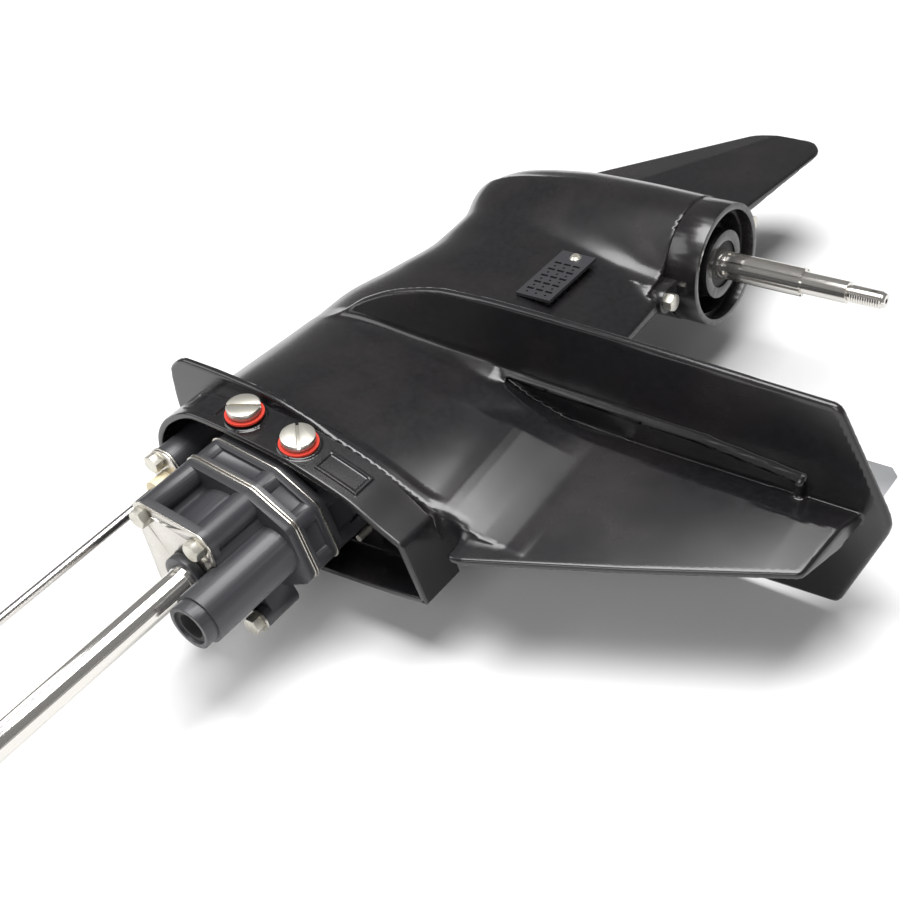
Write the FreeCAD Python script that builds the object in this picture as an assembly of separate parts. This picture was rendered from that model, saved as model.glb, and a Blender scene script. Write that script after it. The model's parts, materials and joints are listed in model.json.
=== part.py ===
"""Outboard lower unit: gearcase, water pump, gear train, shafts, propeller-shaft carrier and trim tab.

Frame: +X aft, +Y starboard, +Z up along the drive shaft. The origin lies on the drive-shaft axis in the
plane of the deck rim. All sizes are millimetres.
"""
import FreeCAD, Part
import math
import os

Vector = FreeCAD.Vector
X_AXIS = Vector(1, 0, 0)
Y_AXIS = Vector(0, 1, 0)
Z_AXIS = Vector(0, 0, 1)

# Fits
RUNNING = 0.05           # radial clearance of a shaft in its hole
SEATED = 0.03            # radial clearance between pieces that stay together
AIR = 0.3                # gap between surfaces that pass each other

# Levels below the deck rim
SHAFT_DROP = 307.0       # propeller-shaft axis
PLATE_DROP = 128.0       # top of the anti-ventilation plate
WALL_HEIGHT = 28.0       # outer height of the deck wall
TUB_DEPTH = 24.0         # inner depth of the deck tub
PROP_Z = -SHAFT_DROP
PLATE_Z = -PLATE_DROP

# Deck tub
DECK_BOW = -91.0
DECK_STERN = 101.0
DECK_STERN_HALF = 6.5
DECK_SIDES = ((-86.0, 17.0), (-71.0, 34.5), (-45.0, 45.5), (8.0, 41.0), (59.0, 27.5), (88.0, 13.0))
DECK_WALL = 4.0
SPLASH_THICKNESS = 4.0
SPLASH_SIDES = ((-97.0, 24.0), (-92.0, 46.0), (-76.0, 54.5), (-23.0, 52.0), (12.0, 44.0), (44.0, 31.5), (76.0, 19.0))
SPLASH_BOW = -98.0
SPLASH_STERN = 100.0
EXHAUST_FRONT = 55.0
EXHAUST_DEPTH = 62.0
EXHAUST_INSET = 4.0

# Leg sections: level, leading edge, trailing edge, half width, half thickness of the trailing edge
UPPER_SECTIONS = (
    (-WALL_HEIGHT, -88.0, 122.0, 42.0, 3.4),
    (-62.0, -89.0, 122.0, 38.5, 6.5),
    (-98.0, -90.0, 122.0, 34.5, 11.0),
    (PLATE_Z, -91.0, 122.0, 32.0, 13.5),
)
LEG_SECTIONS = (
    (-160.0, -90.5, 106.0, 28.5, 3.0),
    (-200.0, -82.0, 99.0, 26.0, 2.5),
    (-240.0, -74.0, 97.0, 25.5, 3.5),
    (-272.0, -74.0, 92.0, 28.0, 8.0),
    (-300.0, -76.0, 88.0, 30.0, 16.0),
)
LEG_SHAPE = ((0.035, 0.50), (0.12, 0.83), (0.26, 1.00), (0.46, 0.90), (0.66, 0.73), (0.86, 0.47))
DECK_SHAPE = ((0.035, 0.50), (0.12, 0.83), (0.26, 1.00), (0.43, 0.95), (0.60, 0.80), (0.72, 0.575), (0.84, 0.25))
ROOT_SHAPE = ((0.035, 0.50), (0.12, 0.83), (0.26, 1.00), (0.43, 0.95), (0.60, 0.86), (0.72, 0.745), (0.84, 0.60))

# Anti-ventilation plate and the fin above it
PLATE_THICKNESS = 5.0
PLATE_FRONT = ((-68.0, 8.0), (-51.0, 31.0), (-27.0, 48.0), (3.0, 61.0), (38.0, 69.0), (76.0, 70.5))
PLATE_REAR_X = 271.0
PLATE_REAR_HALF = 64.5
PLATE_APEX_X = 298.0
PLATE_APEX_HALF = 5.0
LEDGE_HEIGHT = 4.5
LEDGE_SIDE = ((58.0, 28.0), (105.0, 26.0), (198.0, 23.0), (254.0, 17.0))
LEDGE_LIP = 4.5
GUTTER_FRONT = 72.0
GUTTER_REAR = 249.0
GUTTER_FLOOR = 0.8
FIN_TOP = ((96.0, -5.0), (124.0, -10.0), (200.0, -43.0), (271.0, -76.0))
FIN_FRONT = 113.0
FIN_FRONT_LOW = -22.0
FIN_EDGE_HALF = 2.0
FIN_REAR = ((278.0, -88.0), (283.0, -126.0))
FIN_STATIONS = (96.0, 124.0, 145.0, 184.0, 223.0, 271.0)

# Crease along each side, where the leg and the fin overhang the plate: station, half width, level
CREASE = ((66.0, 22.0, -123.0), (88.0, 19.0, -114.0), (108.0, 15.0, -110.5), (142.0, 11.0, -111.0),
          (184.0, 9.5, -109.0), (223.0, 9.0, -108.0), (260.0, 8.0, -106.0), (290.0, 6.5, -113.0))
CHANNEL_ROOT = ((66.0, 22.5), (88.0, 12.0), (108.0, 6.0), (124.0, 4.0))
FIN_ROOT_HALF = 4.0

# Bullet
BULLET_PROFILE = ((-84.0, 0.0), (-81.0, 10.0), (-74.0, 18.5), (-62.0, 27.0), (-44.0, 33.4), (-20.0, 37.4),
                  (10.0, 40.0), (45.0, 40.4), (90.0, 39.6))
JOINT_X = 90.0
CHAMBER_R = 33.5
NOSE_BORE_R = 11.0
NOSE_BORE_FRONT = -76.0

# Skeg
SKEG_OUTLINE = ((-68.0, -341.0), (47.0, -468.0), (91.0, -470.0), (101.0, -458.0), (88.0, -341.0))
SKEG_ROOT_HALF = 7.0
SKEG_TIP_HALF = 2.4
SKEG_TIP_Z = -470.0
SKEG_ROOT_Z = -338.0

# Carrier
CARRIER_LENGTH = 21.0
CARRIER_R = 39.0
CARRIER_WALL = 4.0
CARRIER_JOINT_LIP = 0.5
CARRIER_STEP_DEPTH = 8.0
CARRIER_HUB_R = 21.7
CARRIER_HUB_SETBACK = 2.0
RECESS_FRONT = 62.0
WEB_THICKNESS = 5.0
WEB_SETBACK = 3.0
EAR_PITCH_R = 50.0
EAR_R = 8.0
EAR_THICKNESS = 8.0
LUG_LENGTH = 24.0
EAR_BOLT_R = 4.0
EAR_BOLT_LENGTH = 26.0

# Propeller shaft: radii and stations aft of the drive-shaft axis
PROP_JOURNAL_R = 10.0
PROP_FRONT = -44.0
PROP_SPLINE_START = 113.0
PROP_SPLINE_END = 164.0
PROP_SMOOTH_END = 193.5
PROP_END = 216.0
PROP_SPLINE_R = 8.75
PROP_SPLINE_ROOT_R = 7.5
PROP_SPLINES = 8
PROP_SMOOTH_R = 6.85
PROP_THREAD_R = 5.5
THREAD_PITCH = 1.5
THREAD_DEPTH = 0.7
COTTER_X = 209.0
COTTER_R = 1.6
PLUNGER_R = 4.0
SLOT_HALF_WIDTH = 2.5

# Gear train
MODULE = 2.2
PINION_TEETH = 13
GEAR_TEETH = 27
FACE_WIDTH = 8.5
ADDENDUM = 0.85
DEDENDUM = 1.20
BACKLASH = 0.12
PRESSURE_ANGLE = 20.0
GEAR_BORE_R = PROP_JOURNAL_R + RUNNING
GEAR_HUB_R = 16.0
GEAR_HUB_END = 41.0
GEAR_WEB_X = 16.0
GEAR_BACK_X = 27.0
DOGS = 4
DOG_INNER_R = 10.6
DOG_OUTER_R = 15.0
DOG_LENGTH = 4.0
DOG_ANGLE = 38.0
CLUTCH_CORE_HALF = 6.0
CLUTCH_TRAVEL = 5.0
BEARING_R = 25.0
BEARING_WIDTH = 14.0
BEARING_START = GEAR_BACK_X + AIR
BEARING_ROLLERS = 16
ROLLER_R = 1.6

# Drive shaft
SHAFT_R = 8.5
SHAFT_UPPER_R = 8.0
SHAFT_SPLINE_R = 7.6
SHAFT_STEP_Z = 70.0
SHAFT_TOP = 330.0
SHAFT_SPLINE_LENGTH = 28.0
SHAFT_SPLINES = 10
SHAFT_SPLINE_ROOT_R = 6.6
PINION_SEAT_R = 6.0
SHAFT_NUT_R = 5.0
SHAFT_NUT_HEIGHT = 4.5
SHAFT_BORE_R = 13.0
SHAFT_BEARING_R = 17.0
SHAFT_BEARING_LENGTH = 18.0
SEAL_R = 14.0
SEAL_LENGTH = 8.0

# Shift rod
ROD_X = -68.4
ROD_R = 3.5
ROD_UPPER_R = 3.0
ROD_THREAD_R = 2.6
ROD_STEP_Z = 40.0
ROD_TOP = 262.0
ROD_BORE_R = 4.0
ROD_THREAD_LENGTH = 24.0
CAM_HALF_WIDTH = 4.0
CAM_BACK = 3.0
CAM_HEIGHT = 19.0
CAM_SLOPE = 1.0
CAM_ROOM = 1.0
SHIFT_LIFT = CLUTCH_TRAVEL / CAM_SLOPE
SHIFT_HOUSING_HALF = 9.0
SHIFT_HOUSING_R = 12.0
SHIFT_HOUSING_TOP = 11.0
SHIFT_PLATE_THICKNESS = 1.4
SHIFT_BUSH_R = 7.0
SHIFT_BUSH_TOP = 25.0
SHIFT_BOLT_Y = 14.0

# Water pump: bosses as x, y, radius
PUMP_BOSSES = ((-24.0, 31.0, 7.5), (14.0, 24.0, 9.0), (36.0, 12.0, 7.5), (41.5, -12.5, 7.0), (14.0, -24.0, 9.0),
               (-24.0, -31.0, 7.5))
TOP_BOSSES = (0, 1, 4, 5)
PUMP_BASE_TOP = 1.8
SHEET = 1.2
GASKET = 0.6
LOWER_TOP = 19.0
PUMP_TOP = 61.0
FLANGE = 5.0
BODY_R = 28.5
CUP_R = 24.0
CUP_WALL = 1.2
CUP_TOP_GAP = 4.0
IMPELLER_VANES = 6
IMPELLER_HUB_R = 12.5
VANE_THICKNESS = 3.0
KEY_R = 1.5
KEY_LENGTH = 14.0
BASE_INSET = 1.5
OUTLET_X = 29.0
OUTLET_R = 15.0
OUTLET_LIP_R = 13.2
OUTLET_LIP = 7.0
OUTLET_TOP = 92.0
OUTLET_BORE_R = 10.5
GROMMET_R = 7.5
GROMMET_LENGTH = 16.0
COLLAR_R = 13.5
COLLAR_HEIGHT = 5.5
EAR_BOSS = (22.5, -38.0, 6.5)
EAR_BOSS_TOP = 47.0

# Fasteners
HEX_FLATS = 10.0
HEX_HEIGHT = 5.5
PUMP_BOLT_R = 3.0
SCREW_HEAD_R = 9.5
SCREW_HEAD = 5.0
SCREW_SHANK_R = 6.0
SCREW_TIP = 0.5
SCREW_SLOT_WIDTH = 1.8
SCREW_SLOT_DEPTH = 1.8
SCREW_NECK = 1.6
SCREW_GASKET_R = 11.0
SCREW_GASKET = 1.2
SCREW_LEVEL = -13.5
SCREWS = ((-17.0, 6.0, 25.0), (21.0, 9.0, -55.0))
SPOT_PROUD = 0.8

# Raised pads on the deck wall
PAD_PROUD = 0.8
PAD_FRAME = 1.6
PADS = ((-60.0, -33.0), (37.0, 64.0))
PAD_TOP = -5.5
PAD_BOTTOM = -20.0

# Water intake
SCREEN_X = 40.0
SCREEN_Z = -226.0
SCREEN_LENGTH = 52.0
SCREEN_WIDTH = 25.0
SCREEN_THICKNESS = 2.0
SCREEN_ROWS = 5
SCREEN_COLUMNS = 3
SLOT_LENGTH = 5.0
SLOT_WIDTH = 1.8
INTAKE_DEPTH = 7.0
SCREEN_SCREW_R = 2.0

# Trim tab
TAB_PIVOT_X = 247.0
TAB_DISC_R = 13.0
TAB_DISC_THICKNESS = 5.0
TAB_OUTLINE = ((238.0, 0.0), (286.0, 0.0), (286.0, -30.0), (281.0, -35.0), (265.0, -34.0))
TAB_HALF = 3.5
TAB_EDGE_HALF = 1.4
TAB_BOLT_R = 4.0
TAB_BOLT_LENGTH = 22.0
TAB_TRAVEL = 20.0


def cylinder(radius, length, base=Vector(0, 0, 0), direction=Z_AXIS):
    """A solid cylinder from its base centre along a direction."""
    return Part.makeCylinder(radius, length, base, direction)


def tube(outer, inner, length, base=Vector(0, 0, 0), direction=Z_AXIS):
    """A straight tube."""
    return cylinder(outer, length, base, direction).cut(cylinder(inner, length, base, direction))


def polygon_face(points):
    """A flat face inside a closed chain of points."""
    return Part.Face(Part.makePolygon(list(points) + [points[0]]))


def prism(points, z_low, z_high):
    """A straight prism over an outline of x, y points."""
    face = polygon_face([Vector(x, y, z_low) for x, y in points])
    return face.extrude(Vector(0, 0, z_high - z_low))


def side_prism(points, half):
    """A prism over an outline of x, z points, centred on the middle plane."""
    face = polygon_face([Vector(x, -half, z) for x, z in points])
    return face.extrude(Vector(0, 2 * half, 0))


def box(x_low, x_high, y_low, y_high, z_low, z_high):
    """A box given by its limits."""
    return Part.makeBox(x_high - x_low, y_high - y_low, z_high - z_low, Vector(x_low, y_low, z_low))


def mirror_y(shape):
    """The same shape on the other side of the middle plane."""
    return shape.mirror(Vector(0, 0, 0), Y_AXIS)


def both_sides(shape):
    """A shape and its mirror image, as two solids."""
    return Part.makeCompound([shape, mirror_y(shape)])


def spline_edge(points):
    """A smooth edge through points."""
    curve = Part.BSplineCurve()
    curve.interpolate(points)
    return curve.toShape()


def guided_edge(points, first, last):
    """A smooth edge through points that starts and ends along given directions."""
    curve = Part.BSplineCurve()
    curve.interpolate(Points=points, InitialTangent=Vector(first).normalize(), FinalTangent=Vector(last).normalize())
    return curve.toShape()


def closed_spline_wire(points, z):
    """A closed outline whose nose is smooth across the middle plane."""
    starboard = [Vector(x, y, z) for x, y in points]
    port = [Vector(x, -y, z) for x, y in reversed(points[1:])]
    chain = port + starboard
    return Part.Wire([spline_edge(chain), Part.LineSegment(chain[-1], chain[0]).toShape()])


def revolve_x(profile, z_axis=PROP_Z):
    """A solid turned about a fore-and-aft axis at a level, from x, radius points."""
    chain = [Vector(x, 0, z_axis + r) for x, r in profile]
    return polygon_face(chain).revolve(Vector(0, 0, z_axis), X_AXIS, 360)


def revolve_z(profile, x=0.0, y=0.0):
    """A solid turned about a vertical axis, from radius, level points."""
    chain = [Vector(x + r, y, z) for r, z in profile]
    return polygon_face(chain).revolve(Vector(x, y, 0), Z_AXIS, 360)


def hexagon(flats, height, base, direction=Z_AXIS, turn=0.0):
    """A hexagonal prism with its top corners chamfered, as on a bolt head or nut."""
    radius = flats / math.sqrt(3)
    points = [Vector(radius * math.cos(math.radians(60 * i + turn)), radius * math.sin(math.radians(60 * i + turn)), 0)
              for i in range(6)]
    head = polygon_face(points).extrude(Vector(0, 0, height))
    crown = Part.makeCone(radius + height * 0.8, radius * 0.88, height)
    head = head.common(crown)
    head.Placement = FreeCAD.Placement(base, FreeCAD.Rotation(Z_AXIS, direction))
    return head


def bolt(radius, length, seat, direction, flats=HEX_FLATS, height=HEX_HEIGHT, turn=0.0):
    """A hexagon bolt: the head stands on its seat along a direction and the shank goes the other way."""
    head = hexagon(flats, height, seat, direction, turn)
    return head.fuse(cylinder(radius, length, seat, direction * -1))


def grooved_shaft(radius, root, count, length, base, direction, gap_share=0.5):
    """A splined length of shaft: a full cylinder with straight grooves between the teeth."""
    body = cylinder(radius, length)
    width = 2 * math.pi * radius / count * gap_share
    grooves = []
    for i in range(count):
        groove = box(root, radius + 2, -width / 2, width / 2, -1, length + 1)
        groove.rotate(Vector(0, 0, 0), Z_AXIS, 360.0 / count * i)
        grooves.append(groove)
    body = body.cut(grooves)
    body.Placement = FreeCAD.Placement(base, FreeCAD.Rotation(Z_AXIS, direction))
    return body


def thread_profile(x_start, x_end, radius, pitch, depth):
    """Profile points of a run of ring grooves that stands for a thread."""
    points = [(x_start, radius - depth)]
    count = int((x_end - x_start) / pitch)
    for i in range(count):
        x = x_start + i * pitch
        points += [(x + 0.25 * pitch, radius), (x + 0.5 * pitch, radius), (x + 0.95 * pitch, radius - depth)]
    points.append((x_end, radius - depth))
    return points


def deck_points(inset=0.0):
    """Starboard side of the deck outline, set in by a distance, from bow to stern."""
    sides = [(x, y - inset) for x, y in DECK_SIDES]
    return [(DECK_BOW + inset, 0.0)] + sides + [(DECK_STERN - inset, DECK_STERN_HALF - inset / 2)]


def deck_solid(inset, z_low, z_high):
    """A prism over the deck outline."""
    return Part.Face(closed_spline_wire(deck_points(inset), z_low)).extrude(Vector(0, 0, z_high - z_low))


def interpolate(table, x):
    """Straight-line value from x, value pairs."""
    for (x0, v0), (x1, v1) in zip(table, table[1:]):
        if x <= x1:
            return v0 + (v1 - v0) * (x - x0) / (x1 - x0)
    return table[-1][1]


def wall_half(x):
    """Half width of the deck wall at a station."""
    face = deck_solid(0.0, -1.0, 1.0)
    line = Part.LineSegment(Vector(x, 0, 0), Vector(x, 100, 0)).toShape()
    return face.common(line).BoundBox.YMax


def upper_shape(z):
    """Shape of a leg section between the plate and the deck."""
    share = (z - PLATE_Z) / (-WALL_HEIGHT - PLATE_Z)
    return [(u, root + (deck - root) * share) for (u, root), (_, deck) in zip(ROOT_SHAPE, DECK_SHAPE)]


def leg_points(section, shape):
    """Starboard side of one leg section, from its leading edge to its trailing edge."""
    _, lead, trail, half, edge_half = section
    chord = trail - lead
    return [(lead, 0.0)] + [(lead + u * chord, v * half) for u, v in shape] + [(trail, edge_half)]


def leg_wire(section, shape):
    """Closed leg section: one smooth curve round the nose, one down each side from the widest point, and a flat."""
    side = [Vector(x, y, section[0]) for x, y in leg_points(section, shape)]
    port = [Vector(p.x, -p.y, p.z) for p in side]
    widest = 1 + [part for _, part in shape].index(1.0)
    nose = guided_edge(port[widest:0:-1] + side[:widest + 1], -X_AXIS, X_AXIS)
    starboard = guided_edge(side[widest:], X_AXIS, side[-1] - side[-2])
    flat = Part.LineSegment(side[-1], port[-1]).toShape()
    aft = guided_edge(port[:widest - 1:-1], port[-2] - port[-1], -X_AXIS)
    return Part.Wire([nose, starboard, flat, aft])


def leg():
    """The leg: above the plate its sides sweep aft into the fin, below it a streamlined strut meets the bullet."""
    upper = [leg_wire(s, upper_shape(s[0])) for s in UPPER_SECTIONS]
    lower = [leg_wire(s, LEG_SHAPE) for s in LEG_SECTIONS]
    return Part.makeLoft(upper + lower, True)


def bullet():
    """The torpedo-shaped gear housing with a blunt nose."""
    points = [Vector(x, 0, PROP_Z + r) for x, r in BULLET_PROFILE]
    end = Vector(JOINT_X, 0, PROP_Z)
    edges = [spline_edge(points), Part.LineSegment(points[-1], end).toShape(), Part.LineSegment(end, points[0]).toShape()]
    return Part.Face(Part.Wire(edges)).revolve(Vector(0, 0, PROP_Z), X_AXIS, 360)


def skeg():
    """The fin under the bullet, thick at its root and thin at its tip."""
    blade = side_prism(SKEG_OUTLINE, SKEG_ROOT_HALF)
    low, high = SKEG_TIP_Z - 5, SKEG_ROOT_Z + 5
    slope = (SKEG_ROOT_HALF - SKEG_TIP_HALF) / (SKEG_ROOT_Z - SKEG_TIP_Z)
    half_low = SKEG_TIP_HALF + slope * (low - SKEG_TIP_Z)
    half_high = SKEG_TIP_HALF + slope * (high - SKEG_TIP_Z)
    tail = SKEG_OUTLINE[3][0] + 5
    sections = []
    for z, half in ((low, half_low), (high, half_high)):
        lead = interpolate(((SKEG_OUTLINE[1][1], SKEG_OUTLINE[1][0]), (SKEG_OUTLINE[0][1], SKEG_OUTLINE[0][0])), z) - 6
        middle = lead + 0.35 * (tail - lead)
        sections.append(Part.makePolygon([Vector(lead, 0, z), Vector(middle, half, z), Vector(tail, half * 0.45, z),
                                          Vector(tail, -half * 0.45, z), Vector(middle, -half, z), Vector(lead, 0, z)]))
    return blade.common(Part.makeLoft(sections, True, True))


def plate():
    """The anti-ventilation plate, with a pointed tail."""
    front = [Vector(x, y, PLATE_Z) for x, y in PLATE_FRONT]
    corner = Vector(PLATE_REAR_X, PLATE_REAR_HALF, PLATE_Z)
    tip = Vector(PLATE_APEX_X - 1, PLATE_APEX_HALF, PLATE_Z)
    starboard = [spline_edge(front), Part.LineSegment(front[-1], corner).toShape(),
                 Part.LineSegment(corner, tip).toShape()]
    port = [mirror_y(edge) for edge in starboard]
    apex = Part.Arc(tip, Vector(PLATE_APEX_X, 0, PLATE_Z), Vector(tip.x, -tip.y, PLATE_Z)).toShape()
    nose = Part.LineSegment(Vector(front[0].x, -front[0].y, PLATE_Z), front[0]).toShape()
    wire = Part.Wire(Part.__sortEdges__(starboard + [apex] + port + [nose]))
    return Part.Face(wire).extrude(Vector(0, 0, -PLATE_THICKNESS))


def ledge():
    """The raised step round the root of the fin, with a leaf-shaped gutter inside its lip."""
    outer = list(LEDGE_SIDE) + [(x, -y) for x, y in reversed(LEDGE_SIDE)]
    inner = [(GUTTER_FRONT, interpolate(LEDGE_SIDE, GUTTER_FRONT) - LEDGE_LIP)]
    inner += [(x, y - LEDGE_LIP) for x, y in LEDGE_SIDE[1:-1]]
    inner += [(GUTTER_REAR, LEDGE_SIDE[-1][1] - LEDGE_LIP)]
    gutter = inner + [(x, -y) for x, y in reversed(inner)]
    body = prism(outer, PLATE_Z - 1, PLATE_Z + LEDGE_HEIGHT)
    return body.cut(prism(gutter, PLATE_Z + GUTTER_FLOOR, PLATE_Z + LEDGE_HEIGHT + 1))


def fin_section(x):
    """One cross section of the fin: thin edge, widest at the crease, drawn in again at its root."""
    crease_half, crease_z = crease_at(x)
    top = interpolate(FIN_TOP, x)
    half = [(FIN_EDGE_HALF, top), (crease_half, crease_z), (FIN_ROOT_HALF, PLATE_Z + GUTTER_FLOOR)]
    half.append((FIN_ROOT_HALF, PLATE_Z - 1))
    points = [Vector(x, y, z) for y, z in half] + [Vector(x, -y, z) for y, z in reversed(half)]
    return Part.makePolygon(points + [points[0]])


def crease_at(x):
    """Half width and level of the crease along the side of the leg and the fin."""
    return interpolate([(s[0], s[1]) for s in CREASE], x), interpolate([(s[0], s[2]) for s in CREASE], x)


def fin():
    """The tall fin behind the leg, between the deck and the tail of the plate."""
    stations = list(FIN_STATIONS) + [FIN_REAR[1][0] + 4]
    body = Part.makeLoft([fin_section(x) for x in stations], True, True)
    front, foot = FIN_TOP[0][0] - 5, PLATE_Z - 2
    outline = [(FIN_FRONT, 5), (FIN_TOP[-1][0], 5), FIN_TOP[-1], FIN_REAR[0], FIN_REAR[1], (FIN_REAR[1][0], foot)]
    outline += [(front, foot), (front, -WALL_HEIGHT), (FIN_FRONT - 8, -WALL_HEIGHT), (FIN_FRONT, FIN_FRONT_LOW)]
    return body.common(side_prism(outline, 40))


def channel_section(x, root):
    """Cross section of the channel at one station: open outwards, with a wall that leans out up to the crease."""
    half, level = crease_at(x)
    floor = PLATE_Z + GUTTER_FLOOR
    points = [Vector(x, root, floor), Vector(x, half + 14, floor), Vector(x, half + 14, level), Vector(x, half + 1.5, level)]
    return Part.makePolygon(points + [points[0]])


def side_channel():
    """The channel cut along each side of the leg, under the crease."""
    channel = Part.makeLoft([channel_section(x, root) for x, root in CHANNEL_ROOT], True, True)
    return both_sides(channel)


def splash_plate():
    """The thin lip round the foot of the deck wall."""
    points = [(SPLASH_BOW, 0.0)] + list(SPLASH_SIDES) + [(SPLASH_STERN, DECK_STERN_HALF)]
    face = Part.Face(closed_spline_wire(points, -WALL_HEIGHT - SPLASH_THICKNESS))
    return face.extrude(Vector(0, 0, SPLASH_THICKNESS + 0.5))


def wall_pads():
    """Raised rectangular frames on the deck wall."""
    skin = deck_solid(-PAD_PROUD, -WALL_HEIGHT + 1, -1)
    pads = []
    for x0, x1 in PADS:
        pad = box(x0, x1, 5, 60, PAD_BOTTOM, PAD_TOP)
        inner = box(x0 + PAD_FRAME, x1 - PAD_FRAME, 5, 60, PAD_BOTTOM + PAD_FRAME, PAD_TOP - PAD_FRAME)
        frame = skin.common(pad).cut(inner)
        pads.append(frame)
    return both_sides(Part.makeCompound(pads))


def screw_frame(station):
    """Seat point and outward direction of a deck-wall screw."""
    x, tilt, _ = station
    angle = math.radians(90 - tilt)
    return Vector(x, wall_half(x) + SPOT_PROUD, SCREW_LEVEL), Vector(math.cos(angle), math.sin(angle), 0)


def screw_spots():
    """Flat round seats for the deck-wall screws."""
    spots = []
    for station in SCREWS:
        seat, out = screw_frame(station)
        spots.append(cylinder(SCREW_GASKET_R + 1.0, 6.0, seat - out * 6.0, out))
    return Part.makeCompound(spots)


def ear_points():
    """Centres of the two carrier bolts, above and below the bullet."""
    return [Vector(0, 0, PROP_Z + side * EAR_PITCH_R) for side in (1, -1)]


def lugs():
    """Bosses on the gearcase that take the carrier bolts."""
    shapes = []
    for centre in ear_points():
        start = Vector(JOINT_X - LUG_LENGTH, 0, centre.z)
        boss = cylinder(EAR_R, LUG_LENGTH, start, X_AXIS)
        taper = Part.makeCone(1.5, EAR_R, LUG_LENGTH, start - X_AXIS * LUG_LENGTH, X_AXIS)
        side = 1 if centre.z > PROP_Z else -1
        z0, z1 = sorted((centre.z, PROP_Z + side * (CHAMBER_R + 3)))
        web = box(JOINT_X - LUG_LENGTH, JOINT_X, -EAR_R, EAR_R, z0, z1)
        shapes += [boss, taper, web]
    return shapes


def screen_half():
    """Level of the intake screens off the middle plane: the half width of the leg there."""
    return interpolate([(-s[0], s[3]) for s in LEG_SECTIONS], -SCREEN_Z) * 0.90


def intake_pocket():
    """Shallow pockets behind the intake screens, joined by a passage."""
    half = screen_half()
    outer = box(-SCREEN_WIDTH / 2, SCREEN_WIDTH / 2, 0, 20, -SCREEN_LENGTH / 2, SCREEN_LENGTH / 2)
    inner = box(-SCREEN_WIDTH / 2 + 2, SCREEN_WIDTH / 2 - 2, -INTAKE_DEPTH, 1, -SCREEN_LENGTH / 2 + 9,
                SCREEN_LENGTH / 2 - 2)
    pocket = outer.fuse(inner)
    pocket.translate(Vector(SCREEN_X, half - SCREEN_THICKNESS, SCREEN_Z))
    return both_sides(pocket)


def housing_bores():
    """Everything bored out of the gearcase for the shafts, bearings and gears."""
    chamber = cylinder(CHAMBER_R, JOINT_X + BEARING_START + 1, Vector(-BEARING_START, 0, PROP_Z), X_AXIS)
    race = cylinder(BEARING_R, BEARING_WIDTH + 1, Vector(-BEARING_START - BEARING_WIDTH, 0, PROP_Z), X_AXIS)
    nose = cylinder(NOSE_BORE_R, -BEARING_START - NOSE_BORE_FRONT, Vector(NOSE_BORE_FRONT, 0, PROP_Z), X_AXIS)
    cam_reach = CAM_HEIGHT / 2 + SHIFT_LIFT + CAM_ROOM
    cam = box(ROD_X - CAM_BACK - CAM_ROOM, PROP_FRONT, -CAM_HALF_WIDTH - CAM_ROOM, CAM_HALF_WIDTH + CAM_ROOM,
              PROP_Z - cam_reach, PROP_Z + cam_reach)
    floor = -TUB_DEPTH
    shaft = cylinder(SHAFT_BORE_R, floor - PROP_Z, Vector(0, 0, PROP_Z), Z_AXIS)
    bearing_floor = floor - SHAFT_BEARING_LENGTH - SEAL_LENGTH * 2
    top = cylinder(SHAFT_BEARING_R, floor - bearing_floor + 1, Vector(0, 0, bearing_floor))
    pinion = cylinder(pinion_clear_r(), pinion_top() + 2 - PROP_Z, Vector(0, 0, PROP_Z))
    rod = cylinder(ROD_BORE_R, floor - PROP_Z + 1, Vector(ROD_X, 0, PROP_Z))
    bolts = [cylinder(EAR_BOLT_R, EAR_BOLT_LENGTH, Vector(JOINT_X - EAR_BOLT_LENGTH + EAR_THICKNESS, 0, c.z), X_AXIS)
             for c in ear_points()]
    return [chamber, race, nose, cam, shaft, top, pinion, rod] + bolts


def carrier_room():
    """Space behind the joint face that the carrier and its ears take up."""
    reach = EAR_PITCH_R + EAR_R + AIR
    return box(JOINT_X, JOINT_X + 40, -CARRIER_R, CARRIER_R, PROP_Z - reach, PROP_Z + reach)


def exhaust_well():
    """The deep well in the after part of the deck tub."""
    well = deck_solid(DECK_WALL + EXHAUST_INSET, -TUB_DEPTH - EXHAUST_DEPTH, 1)
    return well.common(box(EXHAUST_FRONT, 120, -60, 60, -TUB_DEPTH - EXHAUST_DEPTH, 1))


def gearcase_housing():
    """The main casting: deck tub, leg, plates, fin, bullet and skeg in one piece."""
    shell = deck_solid(0.0, -WALL_HEIGHT, 0.0)
    body = shell.multiFuse([leg(), splash_plate(), wall_pads(), screw_spots()])
    body = body.cut(side_channel())
    body = body.multiFuse([plate(), ledge(), fin(), bullet(), skeg()] + lugs())
    tub = deck_solid(DECK_WALL, -TUB_DEPTH, 1.0)
    cuts = [tub, exhaust_well(), intake_pocket(), carrier_room()] + housing_bores()
    for station in SCREWS:
        seat, out = screw_frame(station)
        cuts.append(cylinder(SCREW_SHANK_R, 30, seat - out * 12, out))
    cuts.append(cylinder(TAB_BOLT_R, TAB_BOLT_LENGTH, Vector(TAB_PIVOT_X, 0, PLATE_Z - PLATE_THICKNESS - 1)))
    return body.cut(cuts).removeSplitter()


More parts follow.
